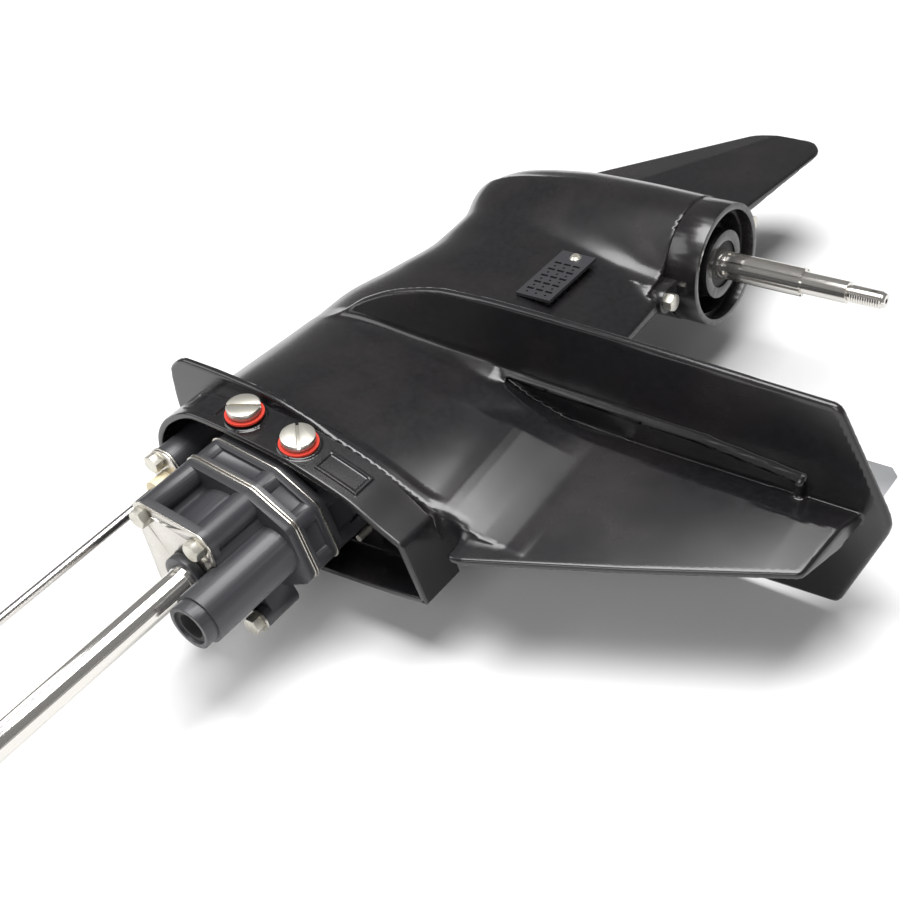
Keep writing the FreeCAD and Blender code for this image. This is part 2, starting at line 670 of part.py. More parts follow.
def deck_screws():
    """Two large slotted screws in the starboard side of the deck wall."""
    screws = []
    for station in SCREWS:
        seat, out = screw_frame(station)
        under = seat + out * SCREW_GASKET
        neck = cylinder(SCREW_GASKET_R - 2.2, SCREW_NECK, under, out)
        head = cylinder(SCREW_HEAD_R, SCREW_HEAD - SCREW_NECK, under + out * SCREW_NECK, out)
        depth = SPOT_PROUD + DECK_WALL + SCREW_TIP
        shank = cylinder(SCREW_SHANK_R - SEATED, SCREW_GASKET + depth, seat - out * depth, out)
        slot = box(-20, 20, -SCREW_SLOT_WIDTH / 2, SCREW_SLOT_WIDTH / 2, -SCREW_SLOT_DEPTH, 2)
        slot.rotate(Vector(0, 0, 0), Z_AXIS, station[2])
        slot.Placement = FreeCAD.Placement(under + out * SCREW_HEAD, FreeCAD.Rotation(Z_AXIS, out)).multiply(slot.Placement)
        screws.append(head.multiFuse([neck, shank]).cut(slot))
    return Part.makeCompound(screws)


def deck_screw_gaskets():
    """Red sealing rings under the deck-wall screws."""
    rings = []
    for station in SCREWS:
        seat, out = screw_frame(station)
        rings.append(tube(SCREW_GASKET_R, SCREW_SHANK_R, SCREW_GASKET, seat, out))
    return Part.makeCompound(rings)


def bearing_carrier():
    """The carrier behind the gears: barrel, after shroud with a ring-shaped recess, webs, hub and two bolt ears."""
    end = JOINT_X + CARRIER_LENGTH
    front = BEARING_START
    barrel = cylinder(CHAMBER_R - SEATED, JOINT_X - front, Vector(front, 0, PROP_Z), X_AXIS)
    shroud = cylinder(CARRIER_R, CARRIER_LENGTH, Vector(JOINT_X, 0, PROP_Z), X_AXIS)
    body = barrel.fuse(shroud)
    ears = []
    for centre in ear_points():
        base = Vector(JOINT_X, 0, centre.z)
        side = 1 if centre.z > PROP_Z else -1
        z0, z1 = sorted((centre.z, PROP_Z + side * (CARRIER_R - 4)))
        ears.append(cylinder(EAR_R, EAR_THICKNESS, base, X_AXIS))
        ears.append(box(JOINT_X, JOINT_X + EAR_THICKNESS, -EAR_R, EAR_R, z0, z1))
    body = body.multiFuse(ears)
    inner = CARRIER_R - CARRIER_WALL
    step = CHAMBER_R - CARRIER_JOINT_LIP
    deep = CHAMBER_R - CARRIER_WALL
    recess = revolve_x([(end + 1, 0), (end + 1, inner), (end - CARRIER_STEP_DEPTH, inner),
                        (end - CARRIER_STEP_DEPTH, step), (JOINT_X + 2, step), (JOINT_X - 4, deep), (RECESS_FRONT, deep),
                        (RECESS_FRONT, 0)])
    hub = revolve_x([(RECESS_FRONT - 1, 0), (RECESS_FRONT - 1, CARRIER_HUB_R + 2),
                     (end - CARRIER_HUB_SETBACK - 9, CARRIER_HUB_R + 1), (end - CARRIER_HUB_SETBACK - 8, CARRIER_HUB_R),
                     (end - CARRIER_HUB_SETBACK, CARRIER_HUB_R), (end - CARRIER_HUB_SETBACK, 0)])
    webs = []
    for turn in (30, 150, 270):
        web = box(RECESS_FRONT - 1, JOINT_X - WEB_SETBACK, -WEB_THICKNESS / 2, WEB_THICKNESS / 2, CARRIER_HUB_R, deep + 1)
        web.rotate(Vector(0, 0, 0), X_AXIS, turn)
        web.translate(Vector(0, 0, PROP_Z))
        webs.append(web)
    body = body.cut(recess).multiFuse([hub] + webs)
    end_face = end - CARRIER_HUB_SETBACK
    cuts = [cylinder(PROP_JOURNAL_R + 2.0, 100, Vector(front - 1, 0, PROP_Z), X_AXIS),
            cylinder(BEARING_R, BEARING_WIDTH, Vector(front, 0, PROP_Z), X_AXIS),
            cylinder(prop_seal_r(), SEAL_LENGTH * 2 + 1, Vector(end_face - SEAL_LENGTH * 2 - 1.5, 0, PROP_Z), X_AXIS),
            cylinder(prop_seal_r() - 1, 10, Vector(end_face - 2, 0, PROP_Z), X_AXIS)]
    cuts += [cylinder(EAR_BOLT_R + 0.4, EAR_THICKNESS + 2, Vector(JOINT_X - 1, 0, c.z), X_AXIS) for c in ear_points()]
    groove = tube(CHAMBER_R + 1, CHAMBER_R - 2.4, 3.0, Vector(JOINT_X - 8, 0, PROP_Z), X_AXIS)
    return body.cut(cuts).cut(groove)


def prop_seal_r():
    """Outer radius of the propeller-shaft seals."""
    return PROP_JOURNAL_R + 6.0


def carrier_bolts():
    """Two hexagon bolts that hold the carrier, heads facing aft."""
    seats = [Vector(JOINT_X + EAR_THICKNESS, 0, c.z) for c in ear_points()]
    return Part.makeCompound([bolt(EAR_BOLT_R - SEATED, EAR_BOLT_LENGTH - 2, seat, X_AXIS, turn=30) for seat in seats])


def carrier_o_ring():
    """Sealing ring in the groove of the carrier barrel."""
    return Part.makeTorus(CHAMBER_R - 1.25, 1.15, Vector(JOINT_X - 6.5, 0, PROP_Z), X_AXIS)


def prop_shaft_seals():
    """Two lip seals in the after end of the carrier."""
    start = JOINT_X + CARRIER_LENGTH - CARRIER_HUB_SETBACK - SEAL_LENGTH * 2 - 1.0
    rings = [tube(prop_seal_r() - SEATED, PROP_JOURNAL_R + RUNNING, SEAL_LENGTH - 0.5,
                  Vector(start + i * SEAL_LENGTH, 0, PROP_Z), X_AXIS) for i in range(2)]
    return Part.makeCompound(rings)


def prop_shaft_bush():
    """Long plain bush that carries the propeller shaft inside the carrier."""
    start = BEARING_START + BEARING_WIDTH + 3
    return tube(PROP_JOURNAL_R + 2.0 - SEATED, PROP_JOURNAL_R + RUNNING, 24.0, Vector(start, 0, PROP_Z), X_AXIS)


def prop_shaft():
    """Propeller shaft: journal, tapered shoulder, eight wide splines, smooth part, thread and cotter hole."""
    journal = cylinder(PROP_JOURNAL_R, PROP_SPLINE_START - 6 - PROP_FRONT, Vector(PROP_FRONT, 0, PROP_Z), X_AXIS)
    cone = Part.makeCone(PROP_JOURNAL_R, PROP_SPLINE_R, 6, Vector(PROP_SPLINE_START - 6, 0, PROP_Z), X_AXIS)
    splines = grooved_shaft(PROP_SPLINE_R, PROP_SPLINE_ROOT_R, PROP_SPLINES, PROP_SPLINE_END - PROP_SPLINE_START,
                            Vector(PROP_SPLINE_START, 0, PROP_Z), X_AXIS, 0.36)
    smooth = [(PROP_SPLINE_END, 0), (PROP_SPLINE_END, PROP_SMOOTH_R), (PROP_SMOOTH_END - 0.8, PROP_SMOOTH_R),
              (PROP_SMOOTH_END, PROP_THREAD_R - THREAD_DEPTH)]
    thread = thread_profile(PROP_SMOOTH_END + 1, PROP_END - 1.5, PROP_THREAD_R, THREAD_PITCH, THREAD_DEPTH)
    tail = revolve_x(smooth + thread + [(PROP_END, PROP_THREAD_R - 1.4), (PROP_END, 0)])
    cuts = [cylinder(COTTER_R, 30, Vector(COTTER_X, -15, PROP_Z), Y_AXIS),
            cylinder(1.6, 6, Vector(PROP_END - 6, 0, PROP_Z), X_AXIS),
            cylinder(PLUNGER_R + RUNNING, 40 + CLUTCH_TRAVEL + 10, Vector(PROP_FRONT - 1, 0, PROP_Z), X_AXIS)]
    slot_half = CLUTCH_TRAVEL + SLOT_HALF_WIDTH + AIR
    cuts.append(box(-slot_half, slot_half, -SLOT_HALF_WIDTH - AIR, SLOT_HALF_WIDTH + AIR, PROP_Z - 20, PROP_Z + 20))
    return journal.multiFuse([cone, splines, tail]).cut(cuts)


def cone_angles(teeth, mate):
    """Pitch-cone half angle of a bevel gear that meshes at right angles."""
    return math.atan2(teeth, mate)


def bevel_tooth(teeth, mate, angle):
    """One straight bevel tooth about the +Z axis, its pitch apex at the origin and its large end up."""
    delta = cone_angles(teeth, mate)
    pitch_r = MODULE * teeth / 2
    distance = pitch_r / math.sin(delta)
    virtual_r = pitch_r / math.cos(delta)
    virtual_teeth = teeth / math.cos(delta)
    alpha = math.radians(PRESSURE_ANGLE)
    base_r = virtual_r * math.cos(alpha)

    def half_angle(radius):
        ratio = min(1.0, base_r / max(radius, base_r))
        local = math.acos(ratio)
        involute = math.tan(local) - local
        at_pitch = math.tan(alpha) - alpha
        return (math.pi / 2 - BACKLASH / MODULE) / virtual_teeth + at_pitch - involute

    radii = [virtual_r - DEDENDUM * MODULE - 0.6, max(base_r, virtual_r - 0.8 * MODULE), virtual_r,
             virtual_r + ADDENDUM * MODULE]
    profile = [(r * math.sin(half_angle(r)), r * math.cos(half_angle(r)) - virtual_r) for r in radii]
    outline = profile + [(-t, h) for t, h in reversed(profile)]
    radial = Vector(math.cos(delta), 0, -math.sin(delta))
    centre = Vector(pitch_r, 0, distance * math.cos(delta))
    large = [centre + radial * h + Vector(0, t, 0) for t, h in outline]
    scale = (distance - FACE_WIDTH) / distance
    small = [point * scale for point in large]
    wires = [Part.makePolygon(points + [points[0]]) for points in (small, large)]
    tooth = Part.makeLoft(wires, True, True)
    tooth.rotate(Vector(0, 0, 0), Z_AXIS, angle)
    return tooth


def root_cone(teeth, mate):
    """Radius and height of the root cone at its large and small ends, measured from the pitch apex."""
    delta = cone_angles(teeth, mate)
    pitch_r = MODULE * teeth / 2
    distance = pitch_r / math.sin(delta)
    drop = DEDENDUM * MODULE
    large = (pitch_r - drop * math.cos(delta), distance * math.cos(delta) + drop * math.sin(delta))
    scale = (distance - FACE_WIDTH) / distance
    return large, (large[0] * scale, large[1] * scale)


def bevel_teeth(teeth, mate):
    """A full ring of bevel teeth.

    Both counts are odd, so a tooth on one side of a wheel faces a space on the other side. With every first
    tooth at the zero angle, the pinion meshes with the forward and the reverse gear at once.
    """
    return [bevel_tooth(teeth, mate, 360.0 / teeth * i) for i in range(teeth)]


def pinion_top():
    """Level of the large end of the pinion."""
    return PROP_Z + root_cone(PINION_TEETH, GEAR_TEETH)[0][1] + 4.0


def pinion_clear_r():
    """Radius of the pocket that the pinion turns in."""
    return MODULE * PINION_TEETH / 2 + MODULE + 2.0


def pinion_gear():
    """The 13-tooth bevel pinion on the foot of the drive shaft."""
    (large_r, large_z), (small_r, small_z) = root_cone(PINION_TEETH, GEAR_TEETH)
    top = pinion_top() - PROP_Z
    blank = revolve_z([(0, small_z), (small_r, small_z), (large_r, large_z), (large_r, top), (0, top)])
    gear = blank.multiFuse(bevel_teeth(PINION_TEETH, GEAR_TEETH))
    gear.translate(Vector(0, 0, PROP_Z))
    return gear.cut(cylinder(PINION_SEAT_R, 60, Vector(0, 0, PROP_Z)))


def dog_ring(x_low, x_high, phase):
    """Clutch dogs: ring segments about the propeller-shaft axis."""
    dogs = []
    for i in range(DOGS):
        profile = [(x_low, DOG_INNER_R), (x_low, DOG_OUTER_R), (x_high, DOG_OUTER_R), (x_high, DOG_INNER_R)]
        chain = [Vector(x, 0, r) for x, r in profile]
        dog = polygon_face(chain).revolve(Vector(0, 0, 0), X_AXIS, DOG_ANGLE)
        dog.rotate(Vector(0, 0, 0), X_AXIS, phase + 360.0 / DOGS * i - DOG_ANGLE / 2)
        dog.translate(Vector(0, 0, PROP_Z))
        dogs.append(dog)
    return dogs


def big_gear(side):
    """A 27-tooth bevel gear with its hub and dogs: side -1 is the forward gear, side +1 the reverse gear."""
    (large_r, large_z), (small_r, small_z) = root_cone(GEAR_TEETH, PINION_TEETH)
    rim_r = MODULE * GEAR_TEETH / 2 + 0.4
    web_r = DOG_OUTER_R + 2.5
    blank = revolve_z([(0, GEAR_WEB_X), (web_r, GEAR_WEB_X), (web_r, small_z + 1), (small_r, small_z),
                       (large_r, large_z), (rim_r, large_z + 2.5), (rim_r - 3, GEAR_BACK_X), (GEAR_HUB_R, GEAR_BACK_X),
                       (GEAR_HUB_R, GEAR_HUB_END), (0, GEAR_HUB_END)])
    gear = blank.multiFuse(bevel_teeth(GEAR_TEETH, PINION_TEETH))
    gear = gear.cut(cylinder(GEAR_BORE_R, 100, Vector(0, 0, -10)))
    gear.rotate(Vector(0, 0, 0), Y_AXIS, 90 * side)
    gear.translate(Vector(0, 0, PROP_Z))
    near = side * (GEAR_WEB_X - DOG_LENGTH)
    far = side * (GEAR_WEB_X + 1)
    return gear.multiFuse(dog_ring(min(near, far), max(near, far), 0.0))


def clutch_dog():
    """The sliding clutch on the propeller shaft, with dogs on both ends."""
    core = tube(DOG_OUTER_R, GEAR_BORE_R, 2 * CLUTCH_CORE_HALF, Vector(-CLUTCH_CORE_HALF, 0, PROP_Z), X_AXIS)
    reach = GEAR_WEB_X - DOG_LENGTH - 1.4
    dogs = dog_ring(-reach, -CLUTCH_CORE_HALF + 1, 45.0) + dog_ring(CLUTCH_CORE_HALF - 1, reach, 45.0)
    core = core.multiFuse(dogs)
    return core.cut(cylinder(SLOT_HALF_WIDTH, 60, Vector(0, 0, PROP_Z - 30)))


def cross_pin():
    """Pin that ties the clutch to the plunger through the slot in the shaft."""
    length = 2 * (DOG_OUTER_R - 0.5)
    pin = cylinder(SLOT_HALF_WIDTH - SEATED, length, Vector(0, 0, PROP_Z - length / 2))
    return pin


def cam_face():
    """Station where the sloping cam face crosses the propeller-shaft axis at rest."""
    return ROD_X + CAM_BACK + CAM_HEIGHT / 2 * CAM_SLOPE


def plunger_centre():
    """Centre of the round tip of the shift plunger, just clear of the cam."""
    return cam_face() + (PLUNGER_R + AIR) * math.hypot(1.0, CAM_SLOPE)


def shift_plunger():
    """Plunger that slides in the front of the propeller shaft and follows the cam."""
    start = plunger_centre()
    rod = cylinder(PLUNGER_R, 5.0 - start, Vector(start, 0, PROP_Z), X_AXIS)
    tip = Part.makeSphere(PLUNGER_R, Vector(start, 0, PROP_Z))
    hole = cylinder(SLOT_HALF_WIDTH, 30, Vector(0, 0, PROP_Z - 15))
    return rod.fuse(tip).cut(hole)


def roller_bearing(x_start, side):
    """A roller bearing about the propeller-shaft axis, with its rollers showing in a groove at one end."""
    ring = tube(BEARING_R - SEATED, GEAR_HUB_R + RUNNING, BEARING_WIDTH, Vector(x_start, 0, PROP_Z), X_AXIS)
    groove_x = x_start + BEARING_WIDTH - 2.5 if side > 0 else x_start
    groove = tube(BEARING_R - 2.5, GEAR_HUB_R + 2.5, 2.5, Vector(groove_x, 0, PROP_Z), X_AXIS)
    rollers = []
    middle_r = (BEARING_R + GEAR_HUB_R) / 2
    for i in range(BEARING_ROLLERS):
        angle = 2 * math.pi / BEARING_ROLLERS * i
        base = Vector(x_start + 1, middle_r * math.cos(angle), PROP_Z + middle_r * math.sin(angle))
        rollers.append(cylinder(ROLLER_R, BEARING_WIDTH - 2, base, X_AXIS))
    return ring.cut(groove).multiFuse(rollers)


def drive_shaft():
    """Drive shaft from the engine spline down to the pinion thread."""
    spline_base = SHAFT_TOP - SHAFT_SPLINE_LENGTH
    foot = root_cone(PINION_TEETH, GEAR_TEETH)[1][1] + PROP_Z
    main = cylinder(SHAFT_R, SHAFT_STEP_Z - pinion_top(), Vector(0, 0, pinion_top()))
    upper = cylinder(SHAFT_UPPER_R, spline_base - SHAFT_STEP_Z, Vector(0, 0, SHAFT_STEP_Z))
    seat = cylinder(PINION_SEAT_R - SEATED, pinion_top() - foot, Vector(0, 0, foot))
    thread = cylinder(SHAFT_NUT_R, SHAFT_NUT_HEIGHT + 1, Vector(0, 0, foot - SHAFT_NUT_HEIGHT - 1))
    spline = grooved_shaft(SHAFT_SPLINE_R, SHAFT_SPLINE_ROOT_R, SHAFT_SPLINES, SHAFT_SPLINE_LENGTH,
                           Vector(0, 0, spline_base), Z_AXIS, 0.45)
    key_seat = cylinder(KEY_R + SEATED, KEY_LENGTH + 1, key_centre(), Z_AXIS)
    return main.multiFuse([upper, seat, thread, spline]).cut(key_seat)


def key_centre():
    """Foot of the impeller key, on the aft side of the drive shaft."""
    return Vector(SHAFT_R, 0, cup_floor() + 5)


def impeller_key():
    """Round key that drives the impeller."""
    return cylinder(KEY_R, KEY_LENGTH, key_centre() + Z_AXIS * 0.5)


def pinion_nut():
    """Nut that holds the pinion on the drive shaft."""
    foot = root_cone(PINION_TEETH, GEAR_TEETH)[1][1] + PROP_Z
    nut = hexagon(11.5, SHAFT_NUT_HEIGHT, Vector(0, 0, foot - 0.02), Z_AXIS * -1)
    return nut.cut(cylinder(SHAFT_NUT_R + SEATED, 20, Vector(0, 0, foot - 10)))


def drive_shaft_bearing():
    """Upper bearing of the drive shaft, under the seals."""
    base = -TUB_DEPTH - SEAL_LENGTH * 2 - SHAFT_BEARING_LENGTH
    return tube(SHAFT_BEARING_R - SEATED, SHAFT_R + RUNNING, SHAFT_BEARING_LENGTH - 0.5, Vector(0, 0, base))


def drive_shaft_lower_bearing():
    """Needle bearing over the pinion."""
    return tube(SHAFT_BORE_R - SEATED, SHAFT_R + RUNNING, 22.0, Vector(0, 0, pinion_top() + 4.0))


def drive_shaft_seals():
    """Two lip seals in the pump base."""
    rings = []
    for i in range(2):
        base = Vector(0, 0, PUMP_BASE_TOP - SEAL_LENGTH * (i + 1))
        rings.append(tube(SEAL_R - SEATED, SHAFT_R + RUNNING, SEAL_LENGTH - 0.5, base))
    return Part.makeCompound(rings)


def tangent_quad(a, b, inset=0.0):
    """Outer tangent points of two round bosses."""
    (ax, ay, ar), (bx, by, br) = a, b
    ar, br = ar - inset, br - inset
    gap = math.hypot(bx - ax, by - ay)
    heading = math.atan2(by - ay, bx - ax)
    lean = math.acos((ar - br) / gap)
    quad = []
    for side in (1, -1):
        angle = heading + side * lean
        quad.append([(ax + ar * math.cos(angle), ay + ar * math.sin(angle)),
                     (bx + br * math.cos(angle), by + br * math.sin(angle))])
    return [quad[0][0], quad[0][1], quad[1][1], quad[1][0]]


def boss_plate(bosses, z_low, z_high, inset=0.0):
    """A plate whose outline wraps a ring of round bosses."""
    shapes = [cylinder(r - inset, z_high - z_low, Vector(x, y, z_low)) for x, y, r in bosses]
    ring = list(bosses) + [bosses[0]]
    shapes += [prism(tangent_quad(a, b, inset), z_low, z_high) for a, b in zip(ring, ring[1:])]
    core = prism([(x, y) for x, y, _ in bosses], z_low, z_high)
    return core.multiFuse(shapes).removeSplitter()


def bolt_holes(z_low, z_high):
    """Holes for the four long pump bolts."""
    holes = [cylinder(PUMP_BOLT_R, z_high - z_low + 2, Vector(x, y, z_low - 1)) for x, y, _ in top_bosses()]
    return Part.makeCompound(holes)


def shaft_hole(radius, z_low, z_high):
    """A hole round the drive shaft."""
    return cylinder(radius, z_high - z_low + 2, Vector(0, 0, z_low - 1))


def top_bosses():
    """The bosses that the top plate covers."""
    return tuple(PUMP_BOSSES[i] for i in TOP_BOSSES)


def pump_base():
    """Lower pump casting that stands on the tub floor and holds the seals."""
    body = boss_plate(PUMP_BOSSES, -TUB_DEPTH, PUMP_BASE_TOP, BASE_INSET)
    waist = boss_plate(PUMP_BOSSES, -TUB_DEPTH + FLANGE, PUMP_BASE_TOP - FLANGE, BASE_INSET - 8)
    columns = [cylinder(r - BASE_INSET, PUMP_BASE_TOP + TUB_DEPTH, Vector(x, y, -TUB_DEPTH)) for x, y, r in PUMP_BOSSES]
    core = boss_plate(PUMP_BOSSES, -TUB_DEPTH + FLANGE, PUMP_BASE_TOP - FLANGE, 4.5)
    body = body.cut(waist.cut(core)).multiFuse(columns)
    cuts = [shaft_hole(SHAFT_R + 1, -TUB_DEPTH, PUMP_BASE_TOP),
            cylinder(SEAL_R, SEAL_LENGTH * 2 + 5, Vector(0, 0, PUMP_BASE_TOP - SEAL_LENGTH * 2)),
            bolt_holes(PUMP_BASE_TOP - 12, PUMP_BASE_TOP)]
    return body.cut(cuts)


def sheet_plate(z_low, thickness, hole_r, bosses=PUMP_BOSSES, inset=0.0):
    """A thin plate with the pump outline, bolt holes and a hole for the shaft."""
    plate_body = boss_plate(bosses, z_low, z_low + thickness, inset)
    plate_body = plate_body.cut(shaft_hole(hole_r, z_low, z_low + thickness))
    return plate_body.cut(bolt_holes(z_low, z_low + thickness))


def lower_plate_z():
    """Level of the lower stainless plate."""
    return PUMP_BASE_TOP


def pump_lower_plate():
    """Stainless plate between the pump base and the lower housing."""
    return sheet_plate(lower_plate_z(), SHEET, SHAFT_R + 3)


def pump_lower_housing():
    """Lower pump casting: thick flanges with a waist between the bosses."""
    low = lower_plate_z() + SHEET
    body = boss_plate(PUMP_BOSSES, low, LOWER_TOP, 0.8)
    pocket = boss_plate(PUMP_BOSSES, low + 3.5, LOWER_TOP - 3, -6).cut(boss_plate(PUMP_BOSSES, low + 3.5, LOWER_TOP - 3, 3.2))
    columns = [cylinder(r - 0.8, LOWER_TOP - low, Vector(x, y, low)) for x, y, r in PUMP_BOSSES]
    body = body.cut(pocket).multiFuse(columns)
    return body.cut(shaft_hole(SHAFT_R + 3, low, LOWER_TOP)).cut(bolt_holes(low, LOWER_TOP))


def mid_stack():
    """Levels of the stacked plates and gasket under the main housing."""
    lower = LOWER_TOP
    gasket = lower + SHEET
    upper = gasket + GASKET
    return lower, gasket, upper, upper + SHEET


def pump_guide_plate():
    """Lower stainless plate of the middle pair."""
    return sheet_plate(mid_stack()[0], SHEET, SHAFT_R + 3, inset=-0.6)


def pump_gasket():
    """Gasket between the two stainless plates."""
    return sheet_plate(mid_stack()[1], GASKET, SHAFT_R + 3, inset=0.4)


def pump_wear_plate():
    """Upper stainless plate, which the impeller runs on."""
    return sheet_plate(mid_stack()[2], SHEET, SHAFT_R + 1, inset=-0.6)


def cup_floor():
    """Level of the open end of the impeller cup."""
    return mid_stack()[3]


def pump_housing():
    """Main pump moulding: drum over the impeller, bolt columns, webs, flanges and the outlet tube."""
    low = cup_floor()
    drum = cylinder(BODY_R, PUMP_TOP - low, Vector(0, 0, low))
    shapes = [boss_plate(PUMP_BOSSES, low, low + FLANGE), boss_plate(top_bosses(), PUMP_TOP - FLANGE, PUMP_TOP)]
    for x, y, r in top_bosses():
        shapes.append(cylinder(r, PUMP_TOP - low, Vector(x, y, low)))
        shapes.append(prism(tangent_quad((x, y, 2.2), (0.0, 0.0, 2.0)), low, PUMP_TOP - 2))
    shapes.append(cylinder(OUTLET_R, OUTLET_TOP - OUTLET_LIP - low, Vector(OUTLET_X, 0, low)))
    shapes.append(cylinder(OUTLET_LIP_R, OUTLET_TOP - low, Vector(OUTLET_X, 0, low)))
    ear_x, ear_y, ear_r = EAR_BOSS
    shapes.append(cylinder(ear_r, EAR_BOSS_TOP - low, Vector(ear_x, ear_y, low)))
    shapes.append(prism(tangent_quad(EAR_BOSS, PUMP_BOSSES[4]), low, EAR_BOSS_TOP - 6))
    body = drum.multiFuse(shapes)
    cuts = [cylinder(CUP_R, PUMP_TOP - CUP_TOP_GAP - low, Vector(0, 0, low)),
            shaft_hole(SHAFT_R + 1, low, OUTLET_TOP),
            cylinder(OUTLET_BORE_R, GROMMET_LENGTH + 1, Vector(OUTLET_X, 0, OUTLET_TOP - GROMMET_LENGTH)),
            cylinder(GROMMET_R - 1, OUTLET_TOP - low - 8, Vector(OUTLET_X, 0, low + 8)),
            bolt_holes(low, PUMP_TOP),
            cylinder(PUMP_BOLT_R, 14, Vector(ear_x, ear_y, EAR_BOSS_TOP - 12))]
    return body.cut(cuts)


def pump_cup():
    """Stainless cup that the impeller turns in."""
    low = cup_floor()
    high = PUMP_TOP - CUP_TOP_GAP
    cup = cylinder(CUP_R - SEATED, high - low, Vector(0, 0, low))
    cup = cup.cut(cylinder(CUP_R - CUP_WALL, high - low - CUP_WALL, Vector(0, 0, low)))
    return cup.cut(shaft_hole(SHAFT_R + 1, low, high))


def impeller():
    """Rubber impeller: hub with swept vanes that end in beads."""
    low = cup_floor() + AIR
    height = PUMP_TOP - CUP_TOP_GAP - CUP_WALL - AIR - low
    hub = cylinder(IMPELLER_HUB_R, height, Vector(0, 0, low))
    tip_r = CUP_R - CUP_WALL - AIR
    vanes = []
    for i in range(IMPELLER_VANES):
        bead = cylinder(VANE_THICKNESS / 2 + 0.5, height, Vector(tip_r - VANE_THICKNESS / 2 - 0.5, 0, low))
        web = box(IMPELLER_HUB_R - 2, tip_r - 2, -VANE_THICKNESS / 2, VANE_THICKNESS / 2, low, low + height)
        vane = web.fuse(bead)
        vane.rotate(Vector(0, 0, 0), Z_AXIS, 30 + 360.0 / IMPELLER_VANES * i)
        vanes.append(vane)
    body = hub.multiFuse(vanes)
    cuts = [shaft_hole(SHAFT_R + SEATED, low, low + height), cylinder(KEY_R + SEATED, height + 2, Vector(SHAFT_R, 0, low - 1))]
    return body.cut(cuts)


def pump_top_plate():
    """Stainless cover plate under the upper bolts, cut round the outlet tube."""
    cover = sheet_plate(PUMP_TOP, SHEET, SHAFT_R + 1.5, top_bosses(), -0.6)
    return cover.cut(cylinder(OUTLET_R + AIR, 10, Vector(OUTLET_X, 0, PUMP_TOP - 2)))


def shaft_collar():
    """Black collar round the drive shaft on the top plate."""
    low = PUMP_TOP + SHEET
    return tube(COLLAR_R, SHAFT_R + RUNNING, COLLAR_HEIGHT, Vector(0, 0, low))


def pump_bolts():
    """Four long hexagon bolts through the whole pump."""
    seat = PUMP_TOP + SHEET
    length = seat - PUMP_BASE_TOP + 10
    return Part.makeCompound([bolt(PUMP_BOLT_R - SEATED, length, Vector(x, y, seat), Z_AXIS, turn=15 * i)
                              for i, (x, y, _) in enumerate(top_bosses())])


def ear_washer():
    """Square washer plate on the port ear of the pump."""
    x, y, r = EAR_BOSS
    washer = cylinder(r + 0.8, SHEET, Vector(x, y, EAR_BOSS_TOP))
    return washer.cut(cylinder(PUMP_BOLT_R, 4, Vector(x, y, EAR_BOSS_TOP - 1)))


def ear_bolt():
    """Bolt on the port ear of the pump."""
    x, y, _ = EAR_BOSS
    return bolt(PUMP_BOLT_R - SEATED, 11, Vector(x, y, EAR_BOSS_TOP + SHEET), Z_AXIS)


def outlet_grommet():
    """Rubber grommet in the outlet tube that takes the engine's water tube."""
    return tube(OUTLET_BORE_R - SEATED, GROMMET_R, GROMMET_LENGTH - 1.5, Vector(OUTLET_X, 0, OUTLET_TOP - GROMMET_LENGTH))


def shift_bosses():
    """The two round ends of the shift-rod seal housing."""
    return ((ROD_X, SHIFT_HOUSING_HALF, SHIFT_HOUSING_R), (ROD_X, -SHIFT_HOUSING_HALF, SHIFT_HOUSING_R))


def obround(z_low, z_high, inset=0.0):
    """A plate with round ends across the shift rod."""
    a, b = shift_bosses()
    shapes = [cylinder(r - inset, z_high - z_low, Vector(x, y, z_low)) for x, y, r in (a, b)]
    return prism(tangent_quad(a, b, inset), z_low, z_high).multiFuse(shapes).removeSplitter()


def rod_hole(radius, z_low, z_high):
    """A hole round the shift rod."""
    return cylinder(radius, z_high - z_low + 2, Vector(ROD_X, 0, z_low - 1))


def shift_bolt_seats(z):
    """Bolt positions on the shift-rod seal housing."""
    return [Vector(ROD_X - 4, side * SHIFT_BOLT_Y, z) for side in (1, -1)]


def shift_seal_housing():
    """Housing on the tub floor that seals the shift rod."""
    body = obround(-TUB_DEPTH, SHIFT_HOUSING_TOP, 0.4)
    holes = [rod_hole(ROD_R + RUNNING, -TUB_DEPTH, SHIFT_HOUSING_TOP)]
    holes += [cylinder(PUMP_BOLT_R, 14, seat - Z_AXIS * 12) for seat in shift_bolt_seats(SHIFT_HOUSING_TOP)]
    return body.cut(holes)


def shift_plates():
    """Two stainless plates stacked on the seal housing."""
    plates = []
    for i in range(2):
        low = SHIFT_HOUSING_TOP + i * SHIFT_PLATE_THICKNESS
        sheet = obround(low, low + SHIFT_PLATE_THICKNESS, -0.6 + 0.5 * i)
        holes = [rod_hole(SHIFT_BUSH_R - 2, low, low + 3)]
        holes += [cylinder(PUMP_BOLT_R, 6, seat - Z_AXIS * 2) for seat in shift_bolt_seats(low)]
        plates.append(sheet.cut(holes))
    return Part.makeCompound(plates)


def shift_bolts():
    """Two hexagon bolts on the seal housing."""
    top = SHIFT_HOUSING_TOP + 2 * SHIFT_PLATE_THICKNESS
    return Part.makeCompound([bolt(PUMP_BOLT_R - SEATED, 13, seat, Z_AXIS, turn=20) for seat in shift_bolt_seats(top)])


def shift_bush():
    """Cream-coloured bush round the shift rod."""
    low = SHIFT_HOUSING_TOP + 2 * SHIFT_PLATE_THICKNESS
    return tube(SHIFT_BUSH_R, ROD_R + RUNNING, SHIFT_BUSH_TOP - low, Vector(ROD_X, 0, low))


